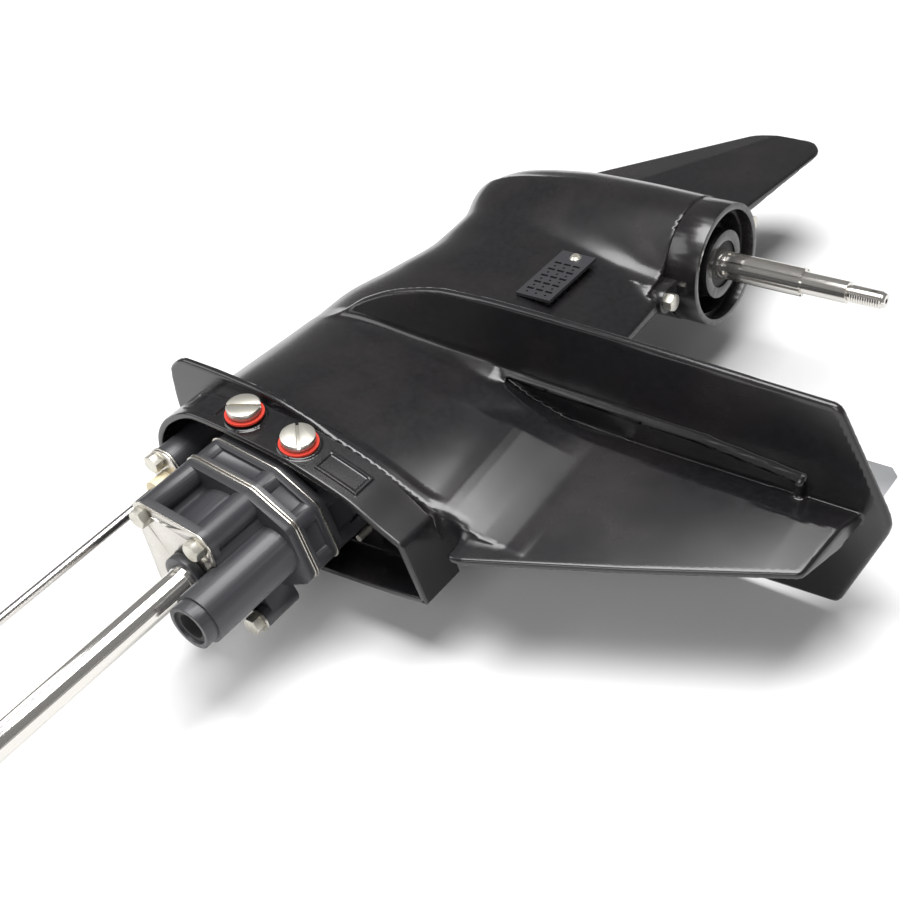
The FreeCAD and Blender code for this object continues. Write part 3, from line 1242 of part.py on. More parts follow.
def shift_rod():
    """Vertical rod with a threaded top and a sloping cam at its foot."""
    thread_base = ROD_TOP - ROD_THREAD_LENGTH
    rod = cylinder(ROD_R, ROD_STEP_Z - PROP_Z - CAM_HEIGHT / 2, Vector(ROD_X, 0, PROP_Z + CAM_HEIGHT / 2))
    upper = cylinder(ROD_UPPER_R, thread_base - ROD_STEP_Z, Vector(ROD_X, 0, ROD_STEP_Z))
    thread = [(0, thread_base)]
    thread += [(r, z) for z, r in thread_profile(thread_base, ROD_TOP - 1, ROD_THREAD_R, 1.2, 0.5)]
    thread += [(ROD_THREAD_R - 1, ROD_TOP), (0, ROD_TOP)]
    top = revolve_z(thread, ROD_X)
    slope = CAM_HEIGHT * CAM_SLOPE
    nose = ROD_X + CAM_BACK
    low, high = PROP_Z - CAM_HEIGHT / 2, PROP_Z + CAM_HEIGHT / 2
    cam = side_prism([(ROD_X - CAM_BACK, low), (nose, low), (nose + slope, high), (ROD_X - CAM_BACK, high)], CAM_HALF_WIDTH)
    return rod.multiFuse([upper, top, cam])


def intake_screen():
    """Starboard intake screen: rows of slots with small round holes between them."""
    half = screen_half()
    panel = box(-SCREEN_WIDTH / 2 + 0.2, SCREEN_WIDTH / 2 - 0.2, 0, SCREEN_THICKNESS, -SCREEN_LENGTH / 2 + 0.2,
                SCREEN_LENGTH / 2 - 0.2)
    cuts = []
    pitch_x = (SCREEN_WIDTH - 5) / SCREEN_COLUMNS
    pitch_z = (SCREEN_LENGTH - 14) / SCREEN_ROWS
    for column in range(SCREEN_COLUMNS):
        for row in range(SCREEN_ROWS):
            x = (column - (SCREEN_COLUMNS - 1) / 2) * pitch_x
            z = (row - (SCREEN_ROWS - 1) / 2) * pitch_z + 3
            cuts.append(box(x - SLOT_LENGTH / 2, x + SLOT_LENGTH / 2, -1, 5, z - SLOT_WIDTH / 2, z + SLOT_WIDTH / 2))
            cuts.append(cylinder(0.8, 6, Vector(x, -1, z + pitch_z / 2), Y_AXIS))
    cuts.append(cylinder(SCREEN_SCREW_R, 6, Vector(0, -1, -SCREEN_LENGTH / 2 + 4.5), Y_AXIS))
    screen = panel.cut(cuts)
    screen.translate(Vector(SCREEN_X, half - SCREEN_THICKNESS, SCREEN_Z))
    return screen


def screen_screw():
    """Small slotted screw of the starboard screen."""
    seat = Vector(SCREEN_X, screen_half(), SCREEN_Z - SCREEN_LENGTH / 2 + 4.5)
    head = Part.makeCone(SCREEN_SCREW_R * 1.9, SCREEN_SCREW_R * 1.2, 1.5, seat, Y_AXIS)
    shank = cylinder(SCREEN_SCREW_R - SEATED, SCREEN_THICKNESS, seat - Y_AXIS * SCREEN_THICKNESS, Y_AXIS)
    slot = box(seat.x - 5, seat.x + 5, seat.y + 0.8, seat.y + 3, seat.z - 0.5, seat.z + 0.5)
    return head.fuse(shank).cut(slot)


def trim_tab():
    """Sacrificial trim tab: bolted disc with a blade that tapers aft."""
    top = PLATE_Z - PLATE_THICKNESS - AIR
    disc = cylinder(TAB_DISC_R, TAB_DISC_THICKNESS, Vector(TAB_PIVOT_X, 0, top - TAB_DISC_THICKNESS))
    blade = side_prism([(x, top + z) for x, z in TAB_OUTLINE], TAB_HALF)
    lead, tail = TAB_OUTLINE[0][0] - 1, TAB_OUTLINE[1][0] + 1
    wedge = prism([(lead, TAB_EDGE_HALF), (TAB_PIVOT_X + 5, TAB_HALF), (tail, TAB_EDGE_HALF), (tail, -TAB_EDGE_HALF),
                   (TAB_PIVOT_X + 5, -TAB_HALF), (lead, -TAB_EDGE_HALF)], top - 60, top)
    body = disc.fuse(blade.common(wedge))
    pocket = cylinder(HEX_FLATS * 0.62, 60, Vector(TAB_PIVOT_X, 0, top - TAB_DISC_THICKNESS - 60))
    return body.cut(pocket).cut(cylinder(TAB_BOLT_R + RUNNING, 20, Vector(TAB_PIVOT_X, 0, top - 15)))


def trim_tab_bolt():
    """Hexagon bolt that clamps the trim tab under the plate."""
    top = PLATE_Z - PLATE_THICKNESS - AIR
    seat = Vector(TAB_PIVOT_X, 0, top - TAB_DISC_THICKNESS - 0.1)
    return bolt(TAB_BOLT_R - SEATED, TAB_BOLT_LENGTH - 2, seat, Z_AXIS * -1)


def dowels():
    """Two locating dowels that stand in the deck rim."""
    return Part.makeCompound([cylinder(2.0, 9.0, Vector(46.0, side * 20.0, -TUB_DEPTH)) for side in (1, -1)])


NODES = {
    "gearcase_housing": gearcase_housing,
    "deck_screws": deck_screws,
    "deck_screw_gaskets": deck_screw_gaskets,
    "deck_dowels": dowels,
    "bearing_carrier": bearing_carrier,
    "carrier_bolts": carrier_bolts,
    "carrier_o_ring": carrier_o_ring,
    "prop_shaft_seals": prop_shaft_seals,
    "prop_shaft_bush": prop_shaft_bush,
    "prop_shaft": prop_shaft,
    "forward_gear": lambda: big_gear(-1),
    "reverse_gear": lambda: big_gear(1),
    "forward_gear_bearing": lambda: roller_bearing(-BEARING_START - BEARING_WIDTH, -1),
    "reverse_gear_bearing": lambda: roller_bearing(BEARING_START, 1),
    "pinion_gear": pinion_gear,
    "pinion_nut": pinion_nut,
    "clutch_dog": clutch_dog,
    "cross_pin": cross_pin,
    "shift_plunger": shift_plunger,
    "drive_shaft": drive_shaft,
    "drive_shaft_bearing": drive_shaft_bearing,
    "drive_shaft_lower_bearing": drive_shaft_lower_bearing,
    "drive_shaft_seals": drive_shaft_seals,
    "pump_base": pump_base,
    "pump_lower_plate": pump_lower_plate,
    "pump_lower_housing": pump_lower_housing,
    "pump_guide_plate": pump_guide_plate,
    "pump_gasket": pump_gasket,
    "pump_wear_plate": pump_wear_plate,
    "pump_housing": pump_housing,
    "pump_cup": pump_cup,
    "impeller": impeller,
    "impeller_key": impeller_key,
    "pump_top_plate": pump_top_plate,
    "shaft_collar": shaft_collar,
    "pump_bolts": pump_bolts,
    "pump_ear_washer": ear_washer,
    "pump_ear_bolt": ear_bolt,
    "outlet_grommet": outlet_grommet,
    "shift_seal_housing": shift_seal_housing,
    "shift_plates": shift_plates,
    "shift_bolts": shift_bolts,
    "shift_bush": shift_bush,
    "shift_rod": shift_rod,
    "intake_screen_starboard": intake_screen,
    "intake_screen_port": lambda: mirror_y(intake_screen()),
    "intake_screws": lambda: both_sides(screen_screw()),
    "trim_tab": trim_tab,
    "trim_tab_bolt": trim_tab_bolt,
}


def main():
    """Build every piece and write one STEP file for each."""
    os.makedirs("parts", exist_ok=True)
    for name, make in NODES.items():
        shape = make()
        shape.exportStep(f"parts/{name}.step")
        print(f"{name}: {len(shape.Solids)} solid, {shape.Volume / 1000:.1f} cm3, valid {shape.isValid()}")


main()
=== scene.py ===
"""Looks of an outboard lower unit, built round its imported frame.

Sizes in the classes are millimetres in the part's own frame: X aft, Y starboard, Z up along the drive shaft, with
the origin on the shaft's axis in the plane of the deck rim. Meshes are turned into metres once, when they are made.
"""
from __future__ import annotations

import json
import logging
import math
from dataclasses import dataclass
from enum import Enum
from typing import Sequence

import bmesh
import bpy
import numpy as np
from mathutils import Matrix

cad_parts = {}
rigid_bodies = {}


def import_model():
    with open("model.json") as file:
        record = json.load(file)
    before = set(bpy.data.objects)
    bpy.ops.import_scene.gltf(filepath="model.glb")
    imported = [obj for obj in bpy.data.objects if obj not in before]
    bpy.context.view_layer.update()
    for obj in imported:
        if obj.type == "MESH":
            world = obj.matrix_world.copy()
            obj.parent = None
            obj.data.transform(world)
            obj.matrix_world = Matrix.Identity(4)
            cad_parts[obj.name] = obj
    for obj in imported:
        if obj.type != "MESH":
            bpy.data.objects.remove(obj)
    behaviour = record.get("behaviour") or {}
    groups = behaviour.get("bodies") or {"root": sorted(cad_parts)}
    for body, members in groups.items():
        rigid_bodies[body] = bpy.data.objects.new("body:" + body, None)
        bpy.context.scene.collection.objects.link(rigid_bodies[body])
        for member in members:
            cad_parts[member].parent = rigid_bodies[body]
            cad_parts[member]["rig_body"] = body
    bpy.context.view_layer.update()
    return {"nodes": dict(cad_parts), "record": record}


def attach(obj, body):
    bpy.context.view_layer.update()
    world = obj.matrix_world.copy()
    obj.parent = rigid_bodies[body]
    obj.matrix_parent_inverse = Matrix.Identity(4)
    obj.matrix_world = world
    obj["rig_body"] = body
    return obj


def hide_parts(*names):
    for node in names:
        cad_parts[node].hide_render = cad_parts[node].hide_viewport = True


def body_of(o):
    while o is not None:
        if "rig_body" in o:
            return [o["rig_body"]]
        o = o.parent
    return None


LOG = logging.getLogger("lower_unit")
# Metres in a millimetre, and the millimetres to each side over which the slope of a field is measured.
MM = 0.001
SLOPE_STEP = 0.5

Array = np.ndarray
Table = tuple[tuple[float, ...], ...]
Pair = tuple[float, float]
Triple = tuple[float, float, float]
Item = bpy.types.Object
Tree = bpy.types.NodeTree
Socket = bpy.types.NodeSocket


class Side(Enum):
    """The two sides of the middle plane."""

    STARBOARD = 1
    PORT = -1


class Pattern(Enum):
    """How a finish varies over its surface."""

    CAST = "cast"
    BRUSHED = "brushed"
    TURNED = "turned"
    MOULDED = "moulded"


# Numbers along curves


def smooth_table(x: Array | float, stations: Sequence[float], values: Sequence[float]) -> Array:
    """Monotone cubic through value pairs, straight beyond both ends.

    On a span of width h with t = (x - x0) / h the value is
    v0 (1 + 2t)(1 - t)^2 + m0 h t (1 - t)^2 + v1 t^2 (3 - 2t) + m1 h t^2 (t - 1),
    where each inner slope m is the harmonic mean of its two span slopes, or 0 where they differ in sign.

    Args:
        x: Places to read.
        stations: Rising places of the known values.
        values: The known values.

    Returns:
        The values at x.
    """
    s = np.asarray(stations, float)
    v = np.asarray(values, float)
    d = np.diff(v) / np.diff(s)
    m = np.concatenate([d[:1], np.zeros(len(v) - 2), d[-1:]])
    agree = d[:-1] * d[1:] > 0
    total = np.where(agree, d[:-1] + d[1:], 1.0)
    m[1:-1] = np.where(agree, 2 * d[:-1] * d[1:] / total, 0.0)
    x = np.asarray(x, float)
    i = np.clip(np.searchsorted(s, x) - 1, 0, len(s) - 2)
    h = s[i + 1] - s[i]
    t = np.clip((x - s[i]) / h, 0, 1)
    inner = v[i] * (1 + 2 * t) * (1 - t) ** 2 + m[i] * h * t * (1 - t) ** 2
    inner = inner + v[i + 1] * t**2 * (3 - 2 * t) + m[i + 1] * h * t**2 * (t - 1)
    before = np.minimum(x - s[0], 0) * m[0]
    after = np.maximum(x - s[-1], 0) * m[-1]
    return inner + before + after


def columns(table: Table) -> tuple[tuple[float, ...], ...]:
    """The columns of a table of rows."""
    return tuple(zip(*table))


def soft_union(a: Array, b: Array, reach: float) -> Array:
    """Union of two distance fields with a concave fillet: min(a, b) - reach h (1 - h), h = 1/2 + (b - a) / 2 reach."""
    h = np.clip(0.5 + 0.5 * (b - a) / reach, 0, 1)
    return b + (a - b) * h - reach * h * (1 - h)


def soft_common(a: Array, b: Array, reach: float) -> Array:
    """Common part of two distance fields with a rounded edge: the union formula on the opposite signs."""
    return -soft_union(-a, -b, reach)


# Meshes


def in_scene(name: str, data: bpy.types.ID) -> Item:
    """Makes an object from its data and puts it into the scene.

    Args:
        name: Name of the object.
        data: Its data.

    Returns:
        The new object.
    """
    item = bpy.data.objects.new(name, data)
    bpy.context.scene.collection.objects.link(item)
    return item


def add_mesh(name: str, points: Array, faces: Array, normals: Array | None = None) -> Item:
    """Makes a smooth-shaded object from points in millimetres.

    Args:
        name: Name of the piece.
        points: Points, one row each.
        faces: Corner numbers, one row per face; all faces have the same number of corners.
        normals: Shading normals at the points, if the surface has exact ones.

    Returns:
        The new object.
    """
    mesh = bpy.data.meshes.new(name)
    corners = faces.shape[1]
    mesh.vertices.add(len(points))
    mesh.vertices.foreach_set("co", (points * MM).astype(np.float32).ravel())
    mesh.loops.add(faces.size)
    mesh.loops.foreach_set("vertex_index", faces.astype(np.int32).ravel())
    mesh.polygons.add(len(faces))
    mesh.polygons.foreach_set("loop_start", np.arange(0, faces.size, corners, dtype=np.int32))
    mesh.polygons.foreach_set("loop_total", np.full(len(faces), corners, np.int32))
    mesh.update(calc_edges=True)
    mesh.validate()
    mesh.shade_smooth()
    if normals is not None:
        mesh.normals_split_custom_set_from_vertices(normals.astype(np.float32))
    return in_scene(name, mesh)


def ring_faces(rows: int, cols: int) -> Array:
    """Quads between the rows of a grid of points whose every row is a closed ring.

    Args:
        rows: Number of rows.
        cols: Points in each row.

    Returns:
        Corner numbers, one row per quad.
    """
    i = np.arange(rows - 1)[:, None]
    j = np.arange(cols)[None, :]
    k = (j + 1) % cols
    quad = np.stack([i * cols + j, i * cols + k, (i + 1) * cols + k, (i + 1) * cols + j], -1)
    return quad.reshape(-1, 4)


def net_surface(values: Array) -> tuple[Array, Array]:
    """Surface net of the zero level of a sampled field.

    Each cell that the level crosses gets one point, the mean of the crossings t = a / (a - b) on its edges. Each
    grid edge that crosses gives a quad of the four cells round it.

    Args:
        values: Field values on a regular grid.

    Returns:
        Points in cell units, and quads that face the positive side.
    """
    inside = values < 0
    cells = tuple(n - 1 for n in values.shape)
    total = np.zeros(cells + (3,))
    count = np.zeros(cells)
    crossings = []
    for axis in range(3):
        others = [k for k in range(3) if k != axis]
        head = [slice(None)] * 3
        tail = [slice(None)] * 3
        head[axis] = slice(0, -1)
        tail[axis] = slice(1, None)
        a, b = values[tuple(head)], values[tuple(tail)]
        where = np.argwhere(inside[tuple(head)] != inside[tuple(tail)])
        start = a[tuple(where.T)]
        spot = where.astype(float)
        spot[:, axis] += start / (start - b[tuple(where.T)])
        crossings.append((axis, others, where, start < 0))
        for da in (0, 1):
            for db in (0, 1):
                cell = where.copy()
                cell[:, others[0]] -= da
                cell[:, others[1]] -= db
                good = np.all((cell >= 0) & (cell < np.array(cells)), axis=1)
                key = tuple(cell[good].T)
                np.add.at(total, key, spot[good])
                np.add.at(count, key, 1)
    number = np.full(cells, -1)
    used = count > 0
    number[used] = np.arange(used.sum())
    points = total[used] / count[used][:, None]
    quads = []
    for axis, others, where, first_inside in crossings:
        ring = []
        for da, db in ((1, 1), (0, 1), (0, 0), (1, 0)):
            cell = where.copy()
            cell[:, others[0]] -= da
            cell[:, others[1]] -= db
            ring.append(number[tuple(cell.T)])
        quad = np.stack(ring, -1)
        flip = first_inside if axis == 1 else ~first_inside
        quad[flip] = quad[flip][:, ::-1]
        quads.append(quad)
    return points, np.concatenate(quads)


# Finishes


def mix_shaders(tree: Tree, share: Socket, first: Socket,
                second: Socket) -> Socket:
    """Mixes two shaders: share 0 gives the first and share 1 the second.

    Args:
        tree: The node tree to add to.
        share: Share of the second shader.
        first: The first shader.
        second: The second shader.

    Returns:
        The mixed shader.
    """
    node = tree.nodes.new("ShaderNodeMixShader")
    for place, socket in enumerate((share, first, second)):
        tree.links.new(socket, node.inputs[place])
    return node.outputs[0]


def map_range(tree: Tree, value: Socket, ends: Pair,
              results: Pair) -> Socket:
    """Maps a value from one range to another, held at both ends.

    Args:
        tree: The node tree to add to.
        value: The value to map.
        ends: Ends of the first range.
        results: Ends of the second range.

    Returns:
        The mapped value.
    """
    node = tree.nodes.new("ShaderNodeMapRange")
    names = ("From Min", "From Max", "To Min", "To Max")
    for name, number in zip(names, (*ends, *results)):
        node.inputs[name].default_value = number
    tree.links.new(value, node.inputs["Value"])
    return node.outputs["Result"]


@dataclass(frozen=True)
class Finish:
    """One surface finish, made as a node material on object coordinates.

    The grain is the size of the fine pattern and the relief is its depth, both in millimetres. The spread is the
    share by which the fine pattern makes the colour lighter and darker, and the tint comes in broad patches.
    """

    name: str
    colour: Triple
    metallic: float
    roughness: float
    pattern: Pattern
    grain: float
    spread: float
    relief: float
    coat: float = 0.0
    tint: Triple = (0.5, 0.42, 0.3)
    tint_share: float = 0.0
    coat_roughness: float = 0.08
    roughness_spread: float = 0.35
    bump_strength: float = 0.6
    fine_detail: float = 5.0
    patch_scale: float = 22.0
    patch_detail: float = 3.0
    shade_ends: Pair = (0.3, 0.7)
    tint_ends: Pair = (0.45, 0.75)
    brush_share: float = 0.06
    turning_share: float = 0.15

    def stretch(self) -> Triple:
        """Scale of the pattern along the three directions.

        Returns:
            Scale along X, Y and Z, per metre.
        """
        size = 1000.0 / self.grain
        if self.pattern is Pattern.BRUSHED:
            return size * self.brush_share, size * self.brush_share, size
        if self.pattern is Pattern.TURNED:
            return size, size * self.turning_share, size * self.turning_share
        return size, size, size

    def material(self) -> bpy.types.Material:
        """Builds the node material once.

        Returns:
            The new material, or the one that is already there.
        """
        found = bpy.data.materials.get(self.name)
        if found:
            return found
        material = bpy.data.materials.new(self.name)
        material.use_nodes = True
        tree = material.node_tree
        shader = tree.nodes["Principled BSDF"]
        shader.inputs["Metallic"].default_value = self.metallic
        shader.inputs["Coat Weight"].default_value = self.coat
        shader.inputs["Coat Roughness"].default_value = self.coat_roughness
        place = tree.nodes.new("ShaderNodeTexCoord").outputs["Object"]
        fine_map = tree.nodes.new("ShaderNodeMapping")
        fine_map.inputs["Scale"].default_value = self.stretch()
        tree.links.new(place, fine_map.inputs["Vector"])
        fine = self.noise(tree, fine_map.outputs["Vector"], 1.0, self.fine_detail)
        broad = self.noise(tree, place, self.patch_scale, self.patch_detail)
        tree.links.new(self.colours(tree, fine, broad), shader.inputs["Base Color"])
        smooth = self.roughness * (1 - self.roughness_spread)
        rough = min(1.0, self.roughness * (1 + self.roughness_spread))
        tree.links.new(map_range(tree, broad, (0.0, 1.0), (smooth, rough)), shader.inputs["Roughness"])
        bump = tree.nodes.new("ShaderNodeBump")
        bump.inputs["Strength"].default_value = self.bump_strength
        bump.inputs["Distance"].default_value = self.relief * MM
        tree.links.new(fine, bump.inputs["Height"])
        tree.links.new(bump.outputs["Normal"], shader.inputs["Normal"])
        return material

    def noise(self, tree: Tree, vector: Socket, scale: float,
              detail: float) -> Socket:
        """Adds a noise pattern.

        Args:
            tree: The material's nodes and links.
            vector: Place that the pattern reads.
            scale: How many times the pattern's own size goes into one unit of the place.
            detail: Number of finer layers.

        Returns:
            The pattern's value.
        """
        node = tree.nodes.new("ShaderNodeTexNoise")
        node.inputs["Scale"].default_value = scale
        node.inputs["Detail"].default_value = detail
        tree.links.new(vector, node.inputs["Vector"])
        return node.outputs["Fac"]

    def colours(self, tree: Tree, fine: Socket,
                broad: Socket) -> Socket:
        """Adds the colour mix: base colour made lighter and darker by the fine pattern, tinted by the broad one.

        Args:
            tree: The material's nodes and links.
            fine: Value of the fine pattern.
            broad: Value of the broad pattern.

        Returns:
            The mixed colour.
        """
        low = tuple(c * (1 - self.spread) for c in self.colour)
        high = tuple(min(1.0, c * (1 + self.spread)) for c in self.colour)
        shade = tree.nodes.new("ShaderNodeValToRGB")
        for element, position, colour in zip(shade.color_ramp.elements, self.shade_ends, (low, high)):
            element.position = position
            element.color = (*colour, 1)
        tree.links.new(fine, shade.inputs["Fac"])
        mix = tree.nodes.new("ShaderNodeMix")
        mix.data_type = "RGBA"
        mix.inputs["B"].default_value = (*self.tint, 1)
        tree.links.new(map_range(tree, broad, self.tint_ends, (0.0, self.tint_share)), mix.inputs["Factor"])
        tree.links.new(shade.outputs["Color"], mix.inputs["A"])
        return mix.outputs["Result"]

    def put_on(self, item: Item) -> Item:
        """Gives the finish to a piece.

        Args:
            item: The piece.

        Returns:
            The same piece.
        """
        item.data.materials.clear()
        item.data.materials.append(self.material())
        return item


FINISHES = {
    "painted_casting": Finish("gloss_black_paint", (0.009, 0.0085, 0.0095), 0.0, 0.25, Pattern.CAST, 3.5, 0.25, 0.02,
                              coat=0.12, tint=(0.020, 0.016, 0.015), tint_share=0.5),
    "moulded_black": Finish("moulded_black", (0.010, 0.010, 0.011), 0.0, 0.32, Pattern.MOULDED, 1.2, 0.3, 0.02),
    "stainless": Finish("stainless_sheet", (0.50, 0.48, 0.44), 1.0, 0.28, Pattern.CAST, 0.8, 0.12, 0.01),
    "bolt_steel": Finish("bolt_steel", (0.48, 0.46, 0.43), 1.0, 0.26, Pattern.CAST, 1.0, 0.15, 0.01),
    "polished_shaft": Finish("polished_shaft", (0.62, 0.59, 0.55), 1.0, 0.20, Pattern.BRUSHED, 0.6, 0.10, 0.004,
                             tint=(0.55, 0.42, 0.25), tint_share=0.25),
    "shift_rod_steel": Finish("rod_steel", (0.60, 0.58, 0.56), 1.0, 0.22, Pattern.BRUSHED, 0.6, 0.1, 0.004),
    "gear_steel": Finish("gear_steel", (0.40, 0.40, 0.41), 1.0, 0.35, Pattern.CAST, 0.8, 0.2, 0.01),
    "red_gasket": Finish("red_gasket", (0.60, 0.03, 0.02), 0.0, 0.45, Pattern.MOULDED, 0.8, 0.2, 0.02),
    "black_rubber": Finish("black_rubber", (0.02, 0.02, 0.02), 0.0, 0.6, Pattern.MOULDED, 0.8, 0.3, 0.03),
    "brown_gasket": Finish("gasket_paper", (0.15, 0.11, 0.08), 0.0, 0.8, Pattern.MOULDED, 0.6, 0.3, 0.03),
    "cream_plastic": Finish("cream_bush", (0.72, 0.62, 0.42), 0.0, 0.5, Pattern.MOULDED, 1.5, 0.12, 0.02),
    "bronze_bush": Finish("bronze", (0.50, 0.34, 0.17), 1.0, 0.35, Pattern.TURNED, 0.8, 0.2, 0.01),
    "anode_silver": Finish("anode_silver", (0.70, 0.71, 0.73), 0.0, 0.42, Pattern.CAST, 1.5, 0.1, 0.04),
}

DRESSED = frozenset({
    "bearing_carrier", "carrier_bolts", "deck_screws", "pump_base", "pump_lower_housing", "pump_housing",
    "pump_top_plate", "pump_bolts", "shift_seal_housing", "shift_plates", "shift_bolts", "pump_guide_plate",
    "pump_wear_plate", "pump_lower_plate", "trim_tab", "shaft_collar", "drive_shaft", "pump_ear_bolt",
})


# The casting


@dataclass(frozen=True)
class CastForm:
    """What the forms of the casting share: a few levels and how their outlines are measured.

    A form's field is the distance to it, negative inside the metal. Tables hold rows of a place and the sizes there.
    Names that end in _round are radii of rounded edges, and those that end in _fillet the reach of fillets.
    """

    prop_z: float = -307.0
    plate_z: float = -128.0
    joint_x: float = 90.0
    plate_overlap: float = 2.0
    gutter_floor: float = 0.8
    cut_round: float = 1.0
    slope_floor: float = 25.0

    def oval_edge(self, x: Array, square: Array, place: Sequence[float], half: Sequence[float]) -> Array:
        """Distance to a rounded outline: (y^2 - half^2) over the length of its gradient.

        Args:
            x: Places along the unit.
            square: Squares of the distances from the middle line.
            place: Rising places of the known half widths.
            half: The known half widths.

        Returns:
            The distance, negative inside the outline.
        """
        squares = [h * h for h in half]
        slope = smooth_table(x + SLOPE_STEP, place, squares) - smooth_table(x - SLOPE_STEP, place, squares)
        return (square - smooth_table(x, place, squares)) / np.sqrt(4 * square + slope**2 + self.slope_floor)


@dataclass(frozen=True)
class Leg(CastForm):
    """The leg between deck and bullet.

    Sections hold level, leading edge, trailing edge, half width and the trailing edge's half width. A shape holds
    the share of the chord and the share of the half width there.
    """

    sections: Table = (
        (-300.0, -76.0, 88.0, 30.0, 16.0),
        (-272.0, -74.0, 92.0, 28.0, 8.0),
        (-240.0, -74.0, 97.0, 25.5, 3.5),
        (-200.0, -82.0, 99.0, 26.0, 2.5),
        (-160.0, -90.5, 106.0, 28.5, 3.0),
        (-128.0, -90.0, 150.0, 32.0, 5.5),
        (-98.0, -90.0, 150.0, 34.5, 4.4),
        (-62.0, -89.5, 150.0, 38.5, 1.8),
        (-28.0, -89.0, 150.0, 42.0, 0.5),
    )
    shape_below: Table = ((0.0, 0.0), (0.035, 0.50), (0.12, 0.83), (0.26, 1.0), (0.46, 0.90), (0.66, 0.73),
                          (0.86, 0.47), (1.0, 0.0))
    shape_at_plate: Table = ((0.0, 0.0), (0.032, 0.50), (0.108, 0.83), (0.234, 1.0), (0.387, 0.95), (0.54, 0.86),
                             (0.648, 0.745), (0.756, 0.60), (0.90, 0.40), (1.0, 0.0))
    shape_at_deck: Table = ((0.0, 0.0), (0.032, 0.50), (0.108, 0.83), (0.234, 1.0), (0.387, 0.95), (0.54, 0.80),
                            (0.648, 0.575), (0.756, 0.27), (0.90, 0.07), (1.0, 0.0))
    shape_change: Pair = (-10.0, 2.0)
    nose_swell: float = 1.03
    tail_round: float = 3.0
    low_rear: float = 112.0
    low_rear_drop: float = 4.0
    foot: float = 10.0
    top: float = -27.8

    def half_squared(self, x: Array, z: Array) -> Array:
        """Square of the half width: (half q(u))^2 u, with u the share of the chord and q a slow function.

        Args:
            x: Places aft of the drive shaft.
            z: Levels.

        Returns:
            The squares.
        """
        level, lead, trail, half, edge = columns(self.sections)
        nose = smooth_table(z, level, lead)
        tail = smooth_table(z, level, trail)
        width = smooth_table(z, level, half)
        tip = smooth_table(z, level, edge) / width
        u = (x - nose) / (tail - nose)
        first, last = self.shape_change
        above = np.clip((z - self.plate_z - first) / (last - first), 0, 1)
        rise = np.clip((z - self.plate_z) / (level[-1] - self.plate_z), 0, 1)
        upper = self.slow_shape(u, tip, self.shape_at_plate) * (1 - rise)
        upper = upper + self.slow_shape(u, tip, self.shape_at_deck) * rise
        shape = self.slow_shape(u, tip, self.shape_below) * (1 - above) + upper * above
        return width**2 * shape**2 * u

    def slow_shape(self, u: Array, tip: Array, shape: Table) -> Array:
        """The slow function q(u) = shape(u) / sqrt(u), which ends at the trailing edge's own thickness.

        Args:
            u: Shares of the chord.
            tip: The trailing edge's own share of the half width.
            shape: Shares of the chord and of the half width.

        Returns:
            Its values.
        """
        shares, parts = columns(shape)
        slow = [p / math.sqrt(u0) for u0, p in zip(shares[1:-1], parts[1:-1])]
        q = smooth_table(np.clip(u, 0, shares[-2]), (0.0, *shares[1:-1]), (slow[0] * self.nose_swell, *slow))
        late = np.clip((u - shares[-2]) / (1 - shares[-2]), 0, 1)
        return q + (tip - slow[-1]) * late

    def field(self, x: Array, y: Array, z: Array) -> Array:
        """Distance to the leg: (y^2 - half^2) over the length of its gradient, cut by the trailing edge.

        Args:
            x: Places aft of the drive shaft.
            y: Places to starboard of the middle.
            z: Levels.

        Returns:
            The distance, negative inside.
        """
        step = SLOPE_STEP
        square = self.half_squared(x, z)
        slope_x = (self.half_squared(x + step, z) - self.half_squared(x - step, z)) / (2 * step)
        slope_z = (self.half_squared(x, z + step) - self.half_squared(x, z - step)) / (2 * step)
        side = (y**2 - square) / np.sqrt(4 * y**2 + slope_x**2 + slope_z**2 + self.slope_floor)
        level, _, trail, _, _ = columns(self.sections)
        rear = smooth_table(z, level, trail)
        rear = np.where(z < self.plate_z - self.low_rear_drop, np.minimum(rear, self.low_rear), rear)
        body = soft_common(side, x - rear, self.tail_round)
        body = soft_common(body, z - self.top, self.cut_round)
        return soft_common(body, self.prop_z + self.foot - z, self.cut_round)


@dataclass(frozen=True)
class Crease(CastForm):
    """The sharp line along leg and fin, as rows of x, half width and level, and the channel in the leg under it."""

    rows: Table = ((64.0, 24.0, -124.5), (78.0, 21.0, -118.0), (96.0, 17.3, -113.0), (116.0, 13.7, -110.5),
                   (142.0, 11.0, -110.0), (184.0, 9.5, -109.0), (223.0, 9.0, -108.0), (260.0, 8.0, -106.0),
                   (290.0, 6.5, -113.0))
    channel_root: Table = ((62.0, 25.5), (72.0, 20.5), (88.0, 12.5), (108.0, 6.0), (124.0, 3.5), (140.0, 3.5))
    channel_overlap: float = 1.5
    least_height: float = 0.5

    def at(self, x: Array) -> tuple[Array, Array]:
        """Half width and level of the crease."""
        place, half, level = columns(self.rows)
        return np.interp(x, place, half), np.interp(x, place, level)

    def channel(self, x: Array, y: Array, z: Array) -> Array:
        """Distance to the tapering room of the channel, whose side leans out from its root to the crease.

        Args:
            x: Places aft of the drive shaft.
            y: Places to starboard of the middle.
            z: Levels.

        Returns:
            The distance, negative inside.
        """
        half, level = self.at(x)
        place, inner = columns(self.channel_root)
        root = np.interp(x, place, inner)
        floor = self.plate_z + self.gutter_floor
        lean = np.clip((z - floor) / np.maximum(level - floor, self.least_height), 0, 1)
        wall = root + (half + self.channel_overlap - root) * lean
        room = soft_common(wall - np.abs(y), z - level, self.cut_round)
        return np.maximum(room, place[0] - x)


